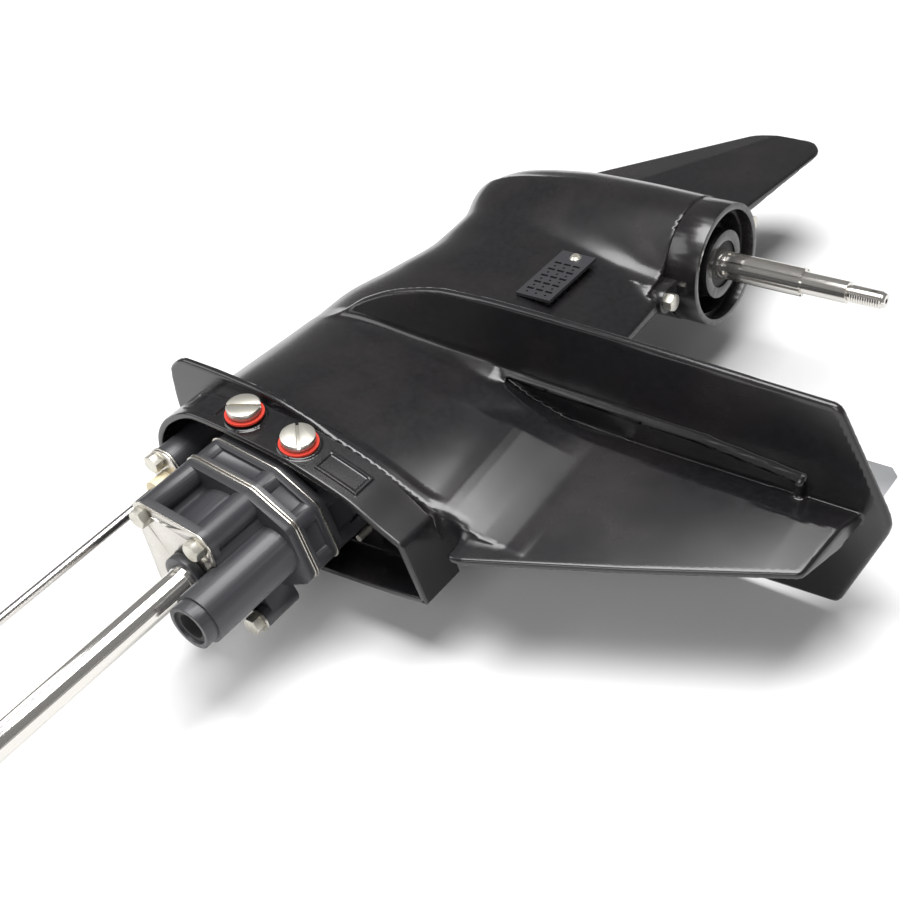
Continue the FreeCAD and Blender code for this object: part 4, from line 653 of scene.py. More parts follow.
@dataclass(frozen=True)
class Fin(CastForm):
    """The fin behind the leg: thin at its top edge, widest at the crease, drawn in at its root."""

    crease: Crease = Crease()
    top: Table = ((96.0, -5.0), (124.0, -10.0), (200.0, -43.0), (271.0, -76.0), (290.0, -84.7))
    rear: tuple[float, float, float, float] = (278.0, -88.0, 283.0, -126.0)
    edge_half: float = 2.0
    root_half: float = 3.5
    start: float = 50.0
    growth: float = 10.0
    lean: Pair = (0.97, 0.92)
    top_round: float = 2.0
    rear_round: float = 3.0
    notch_rear: float = 113.0
    notch_floor: float = -26.0
    notch_round: float = 9.0

    def field(self, x: Array, y: Array, z: Array) -> Array:
        """Distance to the fin; inside the leg it grows from nothing, so that no step shows where it starts.

        Args:
            x: Places aft of the drive shaft.
            y: Places to starboard of the middle.
            z: Levels.

        Returns:
            The distance, negative inside.
        """
        place, height = columns(self.top)
        top = np.interp(x, place, height)
        half, level = self.crease.at(x)
        up = np.clip((z - level) / (top - level), 0, 1)
        down = np.clip((level - z) / (level - self.plate_z), 0, 1)
        over = half + (self.edge_half - half) * up
        under = half + (self.root_half - half) * down
        grown = np.clip((x - self.start) / (place[0] + self.growth - self.start), 0, 1)
        thick = np.where(z > level, over, under) * grown
        side_lean, top_lean = self.lean
        body = soft_common((np.abs(y) - thick) * side_lean, (z - top) * top_lean, self.top_round)
        x0, z0, x1, z1 = self.rear
        rear = ((x - x0) * (z0 - z1) + (z - z0) * (x1 - x0)) / math.hypot(x1 - x0, z1 - z0)
        body = soft_common(body, rear, self.rear_round)
        body = soft_common(body, self.plate_z - self.plate_overlap - z, self.plate_overlap / 4)
        return np.maximum(body, self.start - x)

    def notch(self, x: Array, z: Array) -> Array:
        """Distance to the rounded room between the deck tub and the fin."""
        room = soft_common(self.notch_floor - z, x - self.notch_rear, self.notch_round)
        return np.maximum(room, self.top[0][0] - x)


@dataclass(frozen=True)
class Plate(CastForm):
    """The flat plate with its pointed tail, and the raised ledge on it with a gutter beside the fin."""

    thickness: float = 5.0
    front: Table = ((-68.0, 8.0), (-51.0, 31.0), (-27.0, 48.0), (3.0, 61.0), (38.0, 69.0), (76.0, 70.5),
                    (271.0, 64.5))
    tail: tuple[float, float, float, float] = (271.0, 64.5, 297.0, 5.0)
    apex: float = 298.0
    corner_round: float = 4.0
    apex_round: float = 3.0
    edge_round: float = 2.6
    ledge_half: Table = ((58.0, 28.0), (105.0, 26.0), (198.0, 23.0), (254.0, 17.0))
    ledge_height: float = 4.5
    ledge_slope: float = 3.6
    ledge_top_round: float = 0.8
    ledge_slope_round: float = 1.6
    ledge_end_round: float = 2.5
    ledge_lead: float = 40.0
    ledge_fillet: float = 1.5
    lip_width: float = 4.2
    gutter: Pair = (66.0, 249.0)
    gutter_round: float = 0.8

    def flat(self, x: Array, y: Array, z: Array) -> Array:
        """Distance to the flat plate.

        Args:
            x: Places aft of the drive shaft.
            y: Places to starboard of the middle.
            z: Levels.

        Returns:
            The distance, negative inside.
        """
        edge = self.oval_edge(x, y**2, *columns(self.front))
        x0, y0, x1, y1 = self.tail
        tail = ((x - x0) * (y0 - y1) + (np.abs(y) - y0) * (x1 - x0)) / math.hypot(x1 - x0, y1 - y0)
        edge = soft_common(edge, tail, self.corner_round)
        edge = soft_common(edge, x - self.apex, self.apex_round)
        half = self.thickness / 2
        return soft_common(edge, np.abs(z - self.plate_z + half) - half, self.edge_round)

    def ledge(self, x: Array, y: Array, z: Array) -> Array:
        """Distance to the ledge, whose outer side slopes at half a right angle.

        Args:
            x: Places aft of the drive shaft.
            y: Places to starboard of the middle.
            z: Levels.

        Returns:
            The distance, negative inside.
        """
        place, half = columns(self.ledge_half)
        reach = np.abs(y) - np.interp(x, place, half)
        rise = z - self.plate_z - self.ledge_height
        slope = (reach + rise + self.ledge_slope) * math.sqrt(0.5)
        body = soft_common(reach, rise, self.ledge_top_round)
        body = soft_common(body, slope, self.ledge_slope_round)
        body = soft_common(body, x - place[-1], self.ledge_end_round)
        return np.maximum(np.maximum(body, self.plate_z - self.plate_overlap / 2 - z), place[0] - self.ledge_lead - x)

    def gutter_room(self, x: Array, y: Array, z: Array) -> Array:
        """Distance to the leaf-shaped room of the gutter, between the fin's root and the ledge's lip.

        Args:
            x: Places aft of the drive shaft.
            y: Places to starboard of the middle.
            z: Levels.

        Returns:
            The distance, negative inside.
        """
        place, half = columns(self.ledge_half)
        outer = np.interp(x, place, half) - self.lip_width
        first, last = self.gutter
        room = soft_common(np.abs(y) - outer, self.plate_z + self.gutter_floor - z, self.gutter_round)
        return soft_common(room, np.maximum(first - x, x - last), self.cut_round)

    def field(self, x: Array, y: Array, z: Array) -> Array:
        """Distance to the plate with its ledge."""
        ledge = soft_common(self.ledge(x, y, z), -self.gutter_room(x, y, z), self.cut_round)
        return soft_union(self.flat(x, y, z), ledge, self.ledge_fillet)


@dataclass(frozen=True)
class Bullet(CastForm):
    """The bullet round the propeller shaft, with the two lugs that take the carrier bolts."""

    slope_floor: float = 16.0
    profile: Table = ((-84.0, 0.0), (-81.0, 10.0), (-74.0, 18.5), (-62.0, 27.0), (-44.0, 33.4), (-20.0, 37.4),
                      (10.0, 40.0), (45.0, 40.4), (90.0, 39.6))
    lug_radius: float = 8.0
    lug_front: float = 38.0
    lug_full: float = 66.0
    lug_growth: float = 0.27
    lug_rise: float = 50.0
    ear_reach: float = 58.3

    def field(self, x: Array, y: Array, z: Array) -> Array:
        """Distance to the round body."""
        square = y**2 + (z - self.prop_z) ** 2
        return soft_common(self.oval_edge(x, square, *columns(self.profile)), x - self.joint_x, self.cut_round)

    def lugs(self, x: Array, y: Array, z: Array) -> Array:
        """Distance to the lugs: cylinders that swell towards the joint, each with a web to the body.

        Args:
            x: Places aft of the drive shaft.
            y: Places to starboard of the middle.
            z: Levels.

        Returns:
            The distance, negative inside.
        """
        rise = np.abs(z - self.prop_z)
        radius = np.clip(self.lug_radius + (x - self.lug_full) * self.lug_growth, self.cut_round, self.lug_radius)
        boss = np.sqrt(y**2 + (rise - self.lug_rise) ** 2) - radius
        web = np.maximum(np.abs(y) - radius, rise - self.lug_rise)
        lug = soft_common(soft_union(boss, web, self.cut_round), x - self.joint_x, self.cut_round)
        return np.maximum(lug, self.lug_front - x)

    def ear_room(self, x: Array, z: Array) -> Array:
        """Distance to the room behind the joint that the carrier's ears take up."""
        return np.maximum(np.abs(z - self.prop_z) - self.ear_reach, self.joint_x - x)


@dataclass(frozen=True)
class Skeg(CastForm):
    """The blade under the bullet. Corners hold x and level from the front of its root round to the back."""

    corners: Table = ((-68.0, -341.0), (47.0, -468.0), (91.0, -470.0), (101.0, -458.0), (88.0, -341.0))
    half: Table = ((-470.0, 2.4), (-338.0, 7.0))
    corner_round: float = 5.0
    edge_round: float = 2.0
    margins: Pair = (6.0, 5.0)
    thickest: float = 0.35
    thinning: float = 0.55
    lean: float = 0.98

    def field(self, x: Array, y: Array, z: Array) -> Array:
        """Distance to the skeg: the largest of its edge distances, met with its lens-shaped thickness.

        Args:
            x: Places aft of the drive shaft.
            y: Places to starboard of the middle.
            z: Levels.

        Returns:
            The distance, negative inside.
        """
        root, toe, _, heel, _ = self.corners
        edge = np.full(np.broadcast(x, z).shape, -1e3)
        for (x0, z0), (x1, z1) in zip(self.corners, self.corners[1:]):
            past = ((x - x0) * (z1 - z0) - (z - z0) * (x1 - x0)) / math.hypot(x1 - x0, z1 - z0)
            edge = soft_common(edge, past, self.corner_round)
        thick = np.interp(z, *columns(self.half))
        lead = np.interp(z, (toe[1], root[1]), (toe[0], root[0]))
        ahead, behind = self.margins
        share = np.clip((x - lead + ahead) / (heel[0] + behind - lead + ahead), 0, 1)
        full = self.thickest
        thick = thick * np.where(share < full, share / full, 1 - self.thinning * (share - full) / (1 - full))
        body = soft_common(edge, (np.abs(y) - thick) * self.lean, self.edge_round)
        return np.maximum(body, z - root[1])


@dataclass(frozen=True)
class DeckFoot(CastForm):
    """What carries the deck tub: the thin splash lip, the shelf under the tub's stern, and the well's room."""

    lip: Table = ((-98.0, 0.0), (-97.0, 24.0), (-92.0, 46.0), (-76.0, 54.5), (-23.0, 52.0), (12.0, 44.0),
                  (44.0, 31.5), (76.0, 19.0), (100.0, 6.5))
    lip_levels: Pair = (-32.0, -27.6)
    lip_end_round: float = 3.0
    lip_edge_round: float = 2.2
    shelf: tuple[float, float, float, float, float, float] = (10.0, 95.0, -31.0, 6.0, -37.0, -28.0)
    shelf_slant: float = 0.26
    shelf_round: float = 3.0
    well_half: Table = ((53.5, 22.8), (59.0, 21.0), (70.0, 16.0), (88.0, 6.5), (92.0, 5.5))
    well_floor: float = -85.0

    def splash_lip(self, x: Array, y: Array, z: Array) -> Array:
        """Distance to the lip.

        Args:
            x: Places aft of the drive shaft.
            y: Places to starboard of the middle.
            z: Levels.

        Returns:
            The distance, negative inside.
        """
        place, half = columns(self.lip)
        edge = soft_common(self.oval_edge(x, y**2, place, half), x - place[-1], self.lip_end_round)
        low, high = self.lip_levels
        return soft_common(edge, np.abs(z - (low + high) / 2) - (high - low) / 2, self.lip_edge_round)

    def stern_shelf(self, x: Array, y: Array, z: Array) -> Array:
        """Distance to the shelf that carries the port after corner of the deck tub.

        Args:
            x: Places aft of the drive shaft.
            y: Places to starboard of the middle.
            z: Levels.

        Returns:
            The distance, negative inside.
        """
        x0, x1, y0, y1, z0, z1 = self.shelf
        stern = (x - x1) + (y - y1) * -self.shelf_slant
        sides = np.maximum(np.maximum(x0 - x, stern), np.maximum(y0 - y, y - y1))
        return soft_common(sides, np.maximum(z0 - z, z - z1), self.shelf_round)

    def well_room(self, x: Array, y: Array, z: Array) -> Array:
        """Distance to the room that the after well of the deck takes up in the leg.

        Args:
            x: Places aft of the drive shaft.
            y: Places to starboard of the middle.
            z: Levels.

        Returns:
            The distance, negative inside.
        """
        place, half = columns(self.well_half)
        side = np.abs(y) - np.interp(x, place, half)
        return np.maximum(np.maximum(side, self.well_floor - z), np.maximum(place[0] - x, x - place[-1]))


@dataclass(frozen=True)
class Casting(CastForm):
    """The whole casting: its forms joined with fillets and meshed on a regular grid of cells."""

    leg: Leg = Leg()
    crease: Crease = Crease()
    fin: Fin = Fin()
    plate: Plate = Plate()
    bullet: Bullet = Bullet()
    skeg: Skeg = Skeg()
    deck_foot: DeckFoot = DeckFoot()
    crease_round: float = 2.0
    bullet_fillet: float = 15.0
    lug_fillet: float = 8.0
    skeg_fillet: float = 9.0
    root_fillet: float = 7.0
    root_fillet_least: float = 1.5
    root_fillet_fall: float = 0.3
    sweep_x: Pair = (100.0, 140.0)
    sweep_rise: Pair = (16.0, 32.0)
    sweep_fillet: Pair = (2.5, 16.0)
    shelf_fillet: float = 5.0
    notch_edge_round: float = 7.0
    well_round: float = 0.8
    lip_fillet: float = 4.0
    box_low: Triple = (-106.0, -80.0, -478.0)
    box_high: Triple = (306.0, 80.0, 4.0)
    cell: float = 2.0
    pulls: int = 3
    slope_least: float = 0.05

    def lower_part(self, leg: Array, x: Array, y: Array, z: Array) -> Array:
        """Distance to the leg with the bullet, its lugs and the skeg, less the room of the carrier's ears.

        Args:
            leg: Distance to the leg with its channel.
            x: Places aft of the drive shaft.
            y: Places to starboard of the middle.
            z: Levels.

        Returns:
            The distance, negative inside.
        """
        lower = soft_union(leg, self.bullet.field(x, y, z), self.bullet_fillet)
        lower = soft_union(lower, self.bullet.lugs(x, y, z), self.lug_fillet)
        lower = soft_union(lower, self.skeg.field(x, y, z), self.skeg_fillet)
        return soft_common(lower, -self.bullet.ear_room(x, z), self.cut_round)

    def upper_part(self, leg: Array, x: Array, y: Array, z: Array) -> Array:
        """Distance to the leg with the fin and the stern shelf, less the notch before the fin and the well.

        The fillet between leg and fin grows with the height over the plate and dies out towards the leg's tail.

        Args:
            leg: Distance to the leg with its channel.
            x: Places aft of the drive shaft.
            y: Places to starboard of the middle.
            z: Levels.

        Returns:
            The distance, negative inside.
        """
        low, high = self.sweep_rise
        near, far = self.sweep_x
        least, most = self.sweep_fillet
        height = np.clip((z - self.plate_z - low) / (high - low), 0, 1)
        ahead = np.clip((far - x) / (far - near), 0, 1)
        above = soft_union(leg, self.fin.field(x, y, z), least + (most - least) * height * ahead)
        above = soft_union(above, self.deck_foot.stern_shelf(x, y, z), self.shelf_fillet)
        above = soft_common(above, -self.fin.notch(x, z), self.notch_edge_round)
        return soft_common(above, -self.deck_foot.well_room(x, y, z), self.well_round)

    def plate_fillet(self, x: Array, z: Array) -> Array:
        """Reach of the fillet between plate and leg, which falls off along the gutter on the plate's top.

        Args:
            x: Places aft of the drive shaft.
            z: Levels.

        Returns:
            The reach at each place.
        """
        start = self.plate.gutter[0]
        falling = self.root_fillet - (x - start) * self.root_fillet_fall
        root = np.where(x < start, self.root_fillet, np.maximum(falling, self.root_fillet_least))
        return np.where(z < self.plate_z - self.plate_overlap, self.root_fillet, root)

    def field(self, x: Array, y: Array, z: Array) -> Array:
        """Distance to the whole casting.

        Args:
            x: Places aft of the drive shaft.
            y: Places to starboard of the middle.
            z: Levels.

        Returns:
            The distance, negative inside.
        """
        leg = soft_common(self.leg.field(x, y, z), -self.crease.channel(x, y, z), self.crease_round)
        under = soft_union(self.lower_part(leg, x, y, z), self.plate.field(x, y, z), self.plate_fillet(x, z))
        body = soft_union(under, self.upper_part(leg, x, y, z), self.cut_round)
        return soft_union(body, self.deck_foot.splash_lip(x, y, z), self.lip_fillet)

    def sample(self) -> tuple[Array, Array]:
        """Works out the field on the grid of the box.

        Returns:
            Field values, and the grid's first corner.
        """
        low = np.array(self.box_low)
        high = np.array(self.box_high)
        counts = np.ceil((high - low) / self.cell).astype(int) + 1
        x, y, z = np.ix_(*(low[k] + self.cell * np.arange(counts[k]) for k in range(3)))
        return self.field(x, y, z), low

    def gradient(self, points: Array) -> Array:
        """Slope of the field at points, by central differences over twice the slope step.

        Args:
            points: Points, one row each.

        Returns:
            Slopes, one row each.
        """
        slopes = []
        for step in np.eye(3) * SLOPE_STEP:
            rise = self.field(*(points + step).T) - self.field(*(points - step).T)
            slopes.append(rise / (2 * SLOPE_STEP))
        return np.stack(slopes, -1)

    def surface(self) -> tuple[Array, Array, Array]:
        """Surface of the zero level, pulled onto the exact surface by Newton steps.

        Returns:
            Points, quads and normals.
        """
        values, low = self.sample()
        points, quads = net_surface(values)
        points = low + self.cell * points
        for _ in range(self.pulls):
            slope = self.gradient(points)
            square = np.maximum((slope**2).sum(-1), self.slope_least)
            step = (self.field(*points.T) / square)[:, None] * slope
            points = points - np.clip(step, -self.cell, self.cell)
        slope = self.gradient(points)
        normals = slope / np.maximum(np.linalg.norm(slope, axis=-1, keepdims=True), 1e-6)
        return points, quads, normals

    def build(self) -> Item:
        """Makes the casting and dresses it."""
        return FINISHES["painted_casting"].put_on(add_mesh("gearcase_casting", *self.surface()))


@dataclass
class DeckTub:
    """The open tub on top of the casting: wall with pads, rounded rim, floor and after well.

    The outlines hold x and the distance from the middle line, from bow to stern. The surface is one stack of rings,
    which starts in a slit under the floor, goes up the outside, over the rim and down the inside, and ends in a slit
    in the floor.
    """

    starboard: Table = ((-91.0, 0.0), (-86.0, 17.0), (-71.0, 34.5), (-45.0, 45.5), (8.0, 41.0), (59.0, 27.5),
                        (84.0, 13.5), (95.0, 7.5))
    port: Table = ((-91.0, 0.0), (-86.0, 17.0), (-71.0, 34.5), (-45.0, 45.5), (8.0, 42.0), (50.0, 38.0),
                   (84.0, 34.0), (104.0, 31.0))
    wall: float = 4.0
    foot: float = -28.4
    floor: float = -24.0
    rim_round: float = 1.1
    well_front: float = 55.0
    well_floor: float = -82.0
    well_inset: float = 8.0
    floor_round: float = 2.0
    well_shell: float = 1.5
    well_ramp: float = 0.1
    well_share: float = 0.2
    well_starts: Pair = (0.001, 0.05)
    spine: Pair = (-75.0, 86.0)
    spine_share: float = 0.98
    ring: int = 900
    side_points: int = 4000
    smoothings: int = 12
    cap_rows: int = 8
    wall_rows: int = 54
    rim_rows: int = 6
    floor_rows: int = 5
    sharp: float = 38.0
    pads: tuple[Pair, ...] = ((-60.0, -33.0), (37.0, 64.0))
    pad_levels: Pair = (-20.0, -5.5)
    pad_frame: float = 1.7
    pad_proud: float = 0.8
    pad_ramp: float = 0.5
    seats: tuple[float, ...] = (-17.0, 21.0)
    seat_radius: float = 12.0
    seat_level: float = -13.5

    def path(self) -> tuple[Array, Array]:
        """Outline of the tub, even in length and rounded at the corners.

        Returns:
            Points along the outline, and their outward directions.
        """
        loop = np.concatenate([self.side(Side.STARBOARD), self.side(Side.PORT)[::-1]])
        loop = np.vstack([loop, loop[:1]])
        length = np.concatenate([[0.0], np.cumsum(np.hypot(*np.diff(loop, axis=0).T))])
        even = np.linspace(0, length[-1], self.ring, endpoint=False)
        points = np.stack([np.interp(even, length, loop[:, k]) for k in range(2)], -1)
        for _ in range(self.smoothings):
            points = (np.roll(points, 1, 0) + 2 * points + np.roll(points, -1, 0)) / 4
        along = np.roll(points, -1, 0) - np.roll(points, 1, 0)
        out = np.stack([-along[:, 1], along[:, 0]], -1)
        out = out / np.linalg.norm(out, axis=-1, keepdims=True)
        return points, out

    def side(self, side: Side) -> Array:
        """Close points along one side of the outline, from bow to stern.

        Args:
            side: Which side.

        Returns:
            Points, one row each.
        """
        table = self.starboard if side is Side.STARBOARD else self.port
        x, y = (np.array(c) for c in columns(table))
        run = np.concatenate([[0.0], np.cumsum(np.hypot(np.diff(x), np.diff(y)))])
        t = np.linspace(0, run[-1], self.side_points)
        return np.stack([smooth_table(t, run, x), side.value * smooth_table(t, run, y)], -1)

    def relief(self, x: Array, z: Array) -> Array:
        """How far the wall stands proud at a place: pad frames and round screw seats, with short ramps.

        Args:
            x: Places along the unit.
            z: Levels.

        Returns:
            Height of the relief, from 0 to pad_proud.
        """
        low, high = self.pad_levels
        proud = np.zeros(np.broadcast(x, z).shape)
        for first, last in self.pads:
            edge = np.maximum(np.maximum(first - x, x - last), np.maximum(low - z, z - high))
            band = np.abs(edge + self.pad_frame / 2) - self.pad_frame / 2
            proud = np.maximum(proud, np.clip(0.5 - band / self.pad_ramp, 0, 1))
        for place in self.seats:
            edge = np.hypot(x - place, z - self.seat_level) - self.seat_radius
            proud = np.maximum(proud, np.clip(0.5 - edge / self.pad_ramp, 0, 1))
        return proud * self.pad_proud

    def rows(self) -> list[Triple]:
        """Rows of the surface, from under the floor to its top.

        The rim is two quarter circles, r (1 - cos a) in and r (sin a - 1) up, then the same mirrored, and the foot of
        the inner wall is a third one.

        Returns:
            Inset, level and share of the way to the middle, row by row.
        """
        edge = self.rim_round
        foot = self.floor_round
        well = self.well_inset + self.well_ramp
        edge_share, next_share = self.well_starts
        quarter = np.linspace(0, math.pi / 2, self.rim_rows)
        rows = [(0.0, self.foot, s) for s in np.linspace(self.spine_share, 0.0, self.cap_rows)]
        rows += [(0.0, z, 0.0) for z in np.linspace(self.foot, -edge, self.wall_rows)[1:]]
        rows += [(edge * (1 - math.cos(a)), edge * (math.sin(a) - 1), 0.0) for a in quarter[1:]]
        rows += [(self.wall - edge * (1 - math.sin(a)), edge * (math.cos(a) - 1), 0.0) for a in quarter]
        rows += [(self.wall, z, 0.0) for z in np.linspace(-edge, self.floor + foot, self.cap_rows)[1:]]
        for a in np.linspace(0, math.pi / 2, self.floor_rows)[1:]:
            rows.append((self.wall + foot * (1 - math.cos(a)), self.floor + foot * (1 - math.sin(a)), 0.0))
        rows += [(self.well_inset - self.well_ramp, self.floor, 0.0), (well, self.floor, edge_share)]
        rows += [(well, self.floor, s) for s in np.linspace(next_share, self.spine_share, self.cap_rows)]
        return rows

    def ring_at(self, points: Array, out: Array, row: Triple) -> Array:
        """One ring of the surface: the outline moved in by the inset, then by a share of its way to the middle line.

        Args:
            points: Points of the outline.
            out: Outward directions at the points.
            row: Inset, level and share.

        Returns:
            The ring's points.
        """
        inset, level, share = row
        place = points - out * inset
        spine = np.stack([np.clip(place[:, 0], *self.spine), 0 * place[:, 1]], -1)
        place = place + (spine - place) * share
        deep = place[:, 0] > self.well_front
        z = np.full(len(place), level)
        if share > 0 and level == self.floor:
            z = np.where(deep, self.well_floor, z)
        elif share > self.well_share:
            z = np.where(deep, self.well_floor - self.well_shell, z)
        elif share == 0 and inset == 0:
            place = place + out * self.relief(place[:, 0], z)[:, None]
        return np.concatenate([place, z[:, None]], -1)

    def close(self, item: Item) -> None:
        """Fills the two slits along the middle line and turns every face outwards.

        Args:
            item: The piece.
        """
        shell = bmesh.new()
        shell.from_mesh(item.data)
        bmesh.ops.holes_fill(shell, edges=shell.edges[:], sides=0)
        bmesh.ops.triangulate(shell, faces=[f for f in shell.faces if len(f.verts) > 4])
        bmesh.ops.recalc_face_normals(shell, faces=shell.faces[:])
        shell.to_mesh(item.data)
        shell.free()

    def build(self) -> Item:
        """Makes the tub and dresses it.

        Returns:
            The tub's object.
        """
        points, out = self.path()
        rings = [self.ring_at(points, out, row) for row in self.rows()]
        item = add_mesh("deck_tub", np.concatenate(rings), ring_faces(len(rings), self.ring))
        self.close(item)
        item.data.set_sharp_from_angle(angle=math.radians(self.sharp))
        return FINISHES["painted_casting"].put_on(item)


# Pieces that keep the solids' own shape


@dataclass
class SolidDress:
    """Copies of the frame's solids with eased edges."""

    bevel: float = 0.35
    segments: int = 2
    sharp: float = 35.0
    merge: float = 0.002

    def dress(self, node: Item, finish: Finish) -> Item:
        """Makes a copy of a solid with merged points and small rounded edges.

        Args:
            node: The frame's object.
            finish: Finish of the copy.

        Returns:
            The new piece.
        """
        mesh = node.data.copy()
        item = in_scene(f"{node.name}_dressed", mesh)
        weld = item.modifiers.new("weld", "WELD")
        weld.merge_threshold = self.merge * MM
        edge = item.modifiers.new("edge", "BEVEL")
        edge.width = self.bevel * MM
        edge.segments = self.segments
        edge.limit_method = "ANGLE"
        edge.angle_limit = math.radians(self.sharp)
        edge.harden_normals = True
        edge.use_clamp_overlap = True
        mesh.shade_smooth()
        finish.put_on(item)
        return item


# Stage


@dataclass
class Studio:
    """Floor, light and camera. Lamps hold a name, a place, a size and a power in watts."""

    floor_y: float = -74.0
    floor_half: float = 4000.0
    floor_colour: Triple = (0.86, 0.86, 0.86)
    floor_roughness: float = 0.9
    glow_middle: Pair = (100.0, -150.0)
    glow_reach: Pair = (450.0, 1100.0)
    glow_strength: Pair = (0.03, 1.0)
    light_on_object: float = 0.07
    light_in_shine: float = 0.22
    light_seen: float = 1.0
    lamps: tuple[tuple[str, Triple, float, float], ...] = (
        ("lamp_over", (150.0, 1500.0, -150.0), 1050.0, 40.0),
        ("lamp_left", (-1000.0, 900.0, 500.0), 900.0, 8.0),
        ("lamp_deck", (500.0, 700.0, 1000.0), 700.0, 6.0),
    )
    lamp_target: Triple = (60.0, 0.0, -180.0)
    lens: float = 56.54
    sensor: float = 36.0
    nearest: float = 10.0
    camera_at: Triple = (499.65, 481.09, 359.65)
    right: Triple = (0.78388886, -0.16245103, -0.59927282)
    down: Triple = (0.27621138, -0.77316753, 0.57089337)
    ahead: Triple = (-0.5560805, -0.61304293, -0.56120659)

    def glow(self, tree: Tree) -> Socket:
        """White that the camera and shiny pieces see on the floor, weak near the unit so that its shadow stays.

        Args:
            tree: The node tree to add to.

        Returns:
            The glowing shader.
        """
        nodes = tree.nodes
        place = nodes.new("ShaderNodeTexCoord")
        reach = nodes.new("ShaderNodeVectorMath")
        reach.operation = "DISTANCE"
        x, z = self.glow_middle
        reach.inputs[1].default_value = (x * MM, self.floor_y * MM, z * MM)
        tree.links.new(place.outputs["Object"], reach.inputs[0])
        ends = tuple(r * MM for r in self.glow_reach)
        white = nodes.new("ShaderNodeEmission")
        tree.links.new(map_range(tree, reach.outputs["Value"], ends, self.glow_strength), white.inputs["Strength"])
        black = nodes.new("ShaderNodeEmission")
        black.inputs["Strength"].default_value = 0.0
        path = nodes.new("ShaderNodeLightPath")
        seen = nodes.new("ShaderNodeMath")
        seen.operation = "MAXIMUM"
        tree.links.new(path.outputs["Is Camera Ray"], seen.inputs[0])
        tree.links.new(path.outputs["Is Glossy Ray"], seen.inputs[1])
        return mix_shaders(tree, seen.outputs[0], black.outputs[0], white.outputs[0])

    def floor(self) -> Item:
        """The pale table that the unit lies on; it is clear from behind.

        Returns:
            The table's object.
        """
        y = self.floor_y
        size = self.floor_half
        points = np.array([(-size, y, -size), (-size, y, size), (size, y, size), (size, y, -size)])
        item = add_mesh("table_top", points, np.array([[0, 1, 2, 3]]))
        material = bpy.data.materials.new("table_white")
        material.use_nodes = True
        tree = material.node_tree
        shader = tree.nodes["Principled BSDF"]
        shader.inputs["Base Color"].default_value = (*self.floor_colour, 1)
        shader.inputs["Roughness"].default_value = self.floor_roughness
        shader.inputs["Specular IOR Level"].default_value = 0.0
        add = tree.nodes.new("ShaderNodeAddShader")
        tree.links.new(shader.outputs[0], add.inputs[0])
        tree.links.new(self.glow(tree), add.inputs[1])
        clear = tree.nodes.new("ShaderNodeBsdfTransparent")
        face = tree.nodes.new("ShaderNodeNewGeometry")
        both = mix_shaders(tree, face.outputs["Backfacing"], add.outputs[0], clear.outputs[0])
        tree.links.new(both, tree.nodes["Material Output"].inputs["Surface"])
        item.data.materials.append(material)
        return item

    def world(self) -> None:
        """White surroundings for the camera, weaker in reflections and weakest as light on the object."""
        world = bpy.data.worlds.new("studio")
        bpy.context.scene.world = world
        world.use_nodes = True
        tree = world.node_tree
        tree.nodes.remove(tree.nodes["Background"])
        whites = []
        for strength in (self.light_on_object, self.light_in_shine, self.light_seen):
            white = tree.nodes.new("ShaderNodeBackground")
            white.inputs["Color"].default_value = (1, 1, 1, 1)
            white.inputs["Strength"].default_value = strength
            whites.append(white.outputs[0])
        path = tree.nodes.new("ShaderNodeLightPath")
        bounced = mix_shaders(tree, path.outputs["Is Glossy Ray"], whites[0], whites[1])
        light = mix_shaders(tree, path.outputs["Is Camera Ray"], bounced, whites[2])
        tree.links.new(light, tree.nodes["World Output"].inputs["Surface"])

    def lamp(self, name: str, at: Triple, size: float, power: float) -> Item:
        """A square soft lamp that points at the middle of the unit.

        Args:
            name: Name of the lamp.
            at: Its place.
            size: Side of the square.
            power: Power in watts.

        Returns:
            The lamp's object.
        """
        data = bpy.data.lights.new(name, "AREA")
        data.shape = "SQUARE"
        data.size = size * MM
        data.energy = power
        item = in_scene(name, data)
        place = np.array(at)
        aim = np.array(self.lamp_target) - place
        aim = aim / np.linalg.norm(aim)
        side = np.cross(aim, (0.0, 0.0, 1.0))
        side = side / np.linalg.norm(side)
        item.matrix_world = self.pose(side, np.cross(side, aim), -aim, place)
        return item

    def pose(self, right: Sequence[float], up: Sequence[float], back: Sequence[float], at: Sequence[float]) -> Matrix:
        """Matrix whose columns are the three directions and the place in metres.

        Args:
            right: Direction to the right.
            up: Direction upwards.
            back: Direction backwards.
            at: The place.

        Returns:
            The matrix.
        """
        matrix = Matrix.Identity(4)
        for row in range(3):
            matrix[row][0], matrix[row][1], matrix[row][2] = right[row], up[row], back[row]
            matrix[row][3] = at[row] * MM
        return matrix

    def camera(self) -> Item:
        """The camera at the photograph's place.

        Returns:
            The camera's object.
        """
        data = bpy.data.cameras.new("camera")
        data.lens = self.lens
        data.sensor_width = self.sensor
        data.sensor_fit = "HORIZONTAL"
        data.clip_start = self.nearest * MM
        item = in_scene("camera", data)
        up = [-d for d in self.down]
        back = [-d for d in self.ahead]
        item.matrix_world = self.pose(self.right, up, back, self.camera_at)
        bpy.context.scene.camera = item
        return item

    def build(self) -> None:
        """Sets up the whole stage."""
        self.floor()
        self.world()
        for name, at, size, power in self.lamps:
            self.lamp(name, at, size, power)
        self.camera()
        bpy.context.scene.view_settings.view_transform = "Standard"


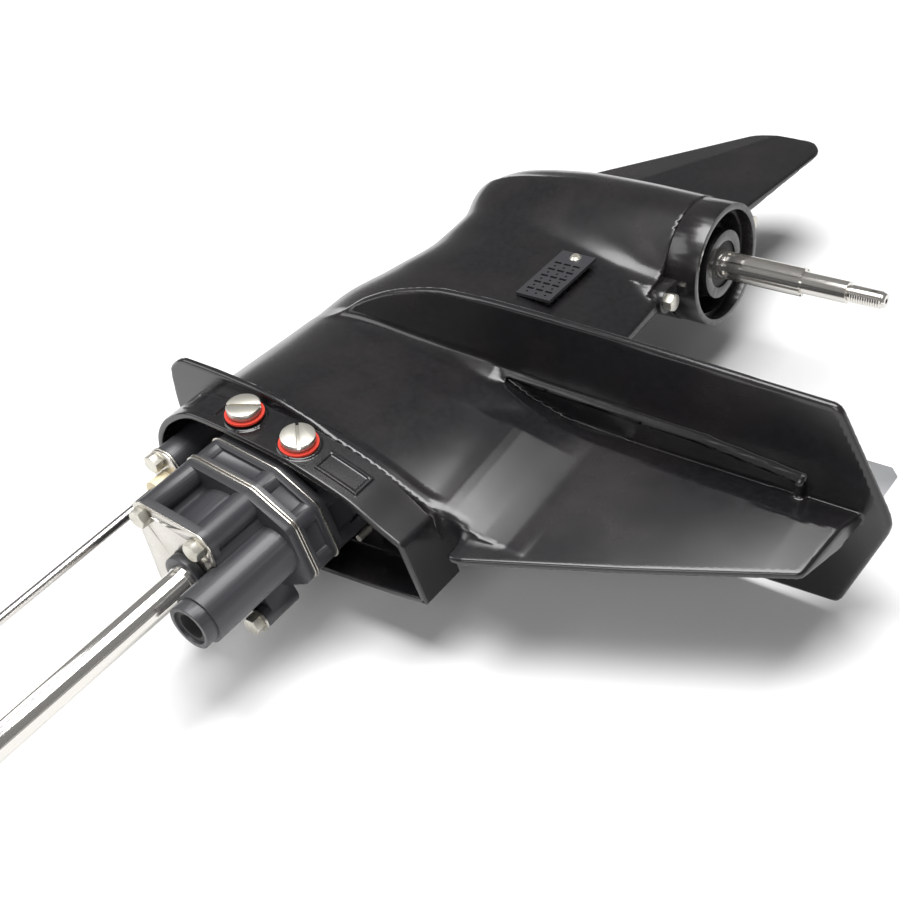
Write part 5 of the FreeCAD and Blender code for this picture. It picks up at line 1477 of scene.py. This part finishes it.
def main() -> None:
    """Loads the frame, builds every sub-assembly in order and reports each piece."""
    logging.basicConfig(level=logging.INFO, format="%(message)s")
    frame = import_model()
    slots = {row["node"]: row["material_slot"] for row in frame["record"]["subparts"]}
    for piece in (Casting().build(), DeckTub().build()):
        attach(piece, "case")
        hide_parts("gearcase_housing")
        LOG.info("%s: %d faces", piece.name, len(piece.data.polygons))
    dresser = SolidDress()
    for name, node in frame["nodes"].items():
        finish = FINISHES["moulded_black" if name.startswith("intake_screen_") else slots[name]]
        if name in DRESSED:
            piece = dresser.dress(node, finish)
            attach(piece, body_of(node)[0])
            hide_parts(name)
            LOG.info("%s: eased edges", piece.name)
        else:
            finish.put_on(node)
            LOG.info("%s: %s", name, slots[name])
    Studio().build()


if __name__ == "__main__":
    main()
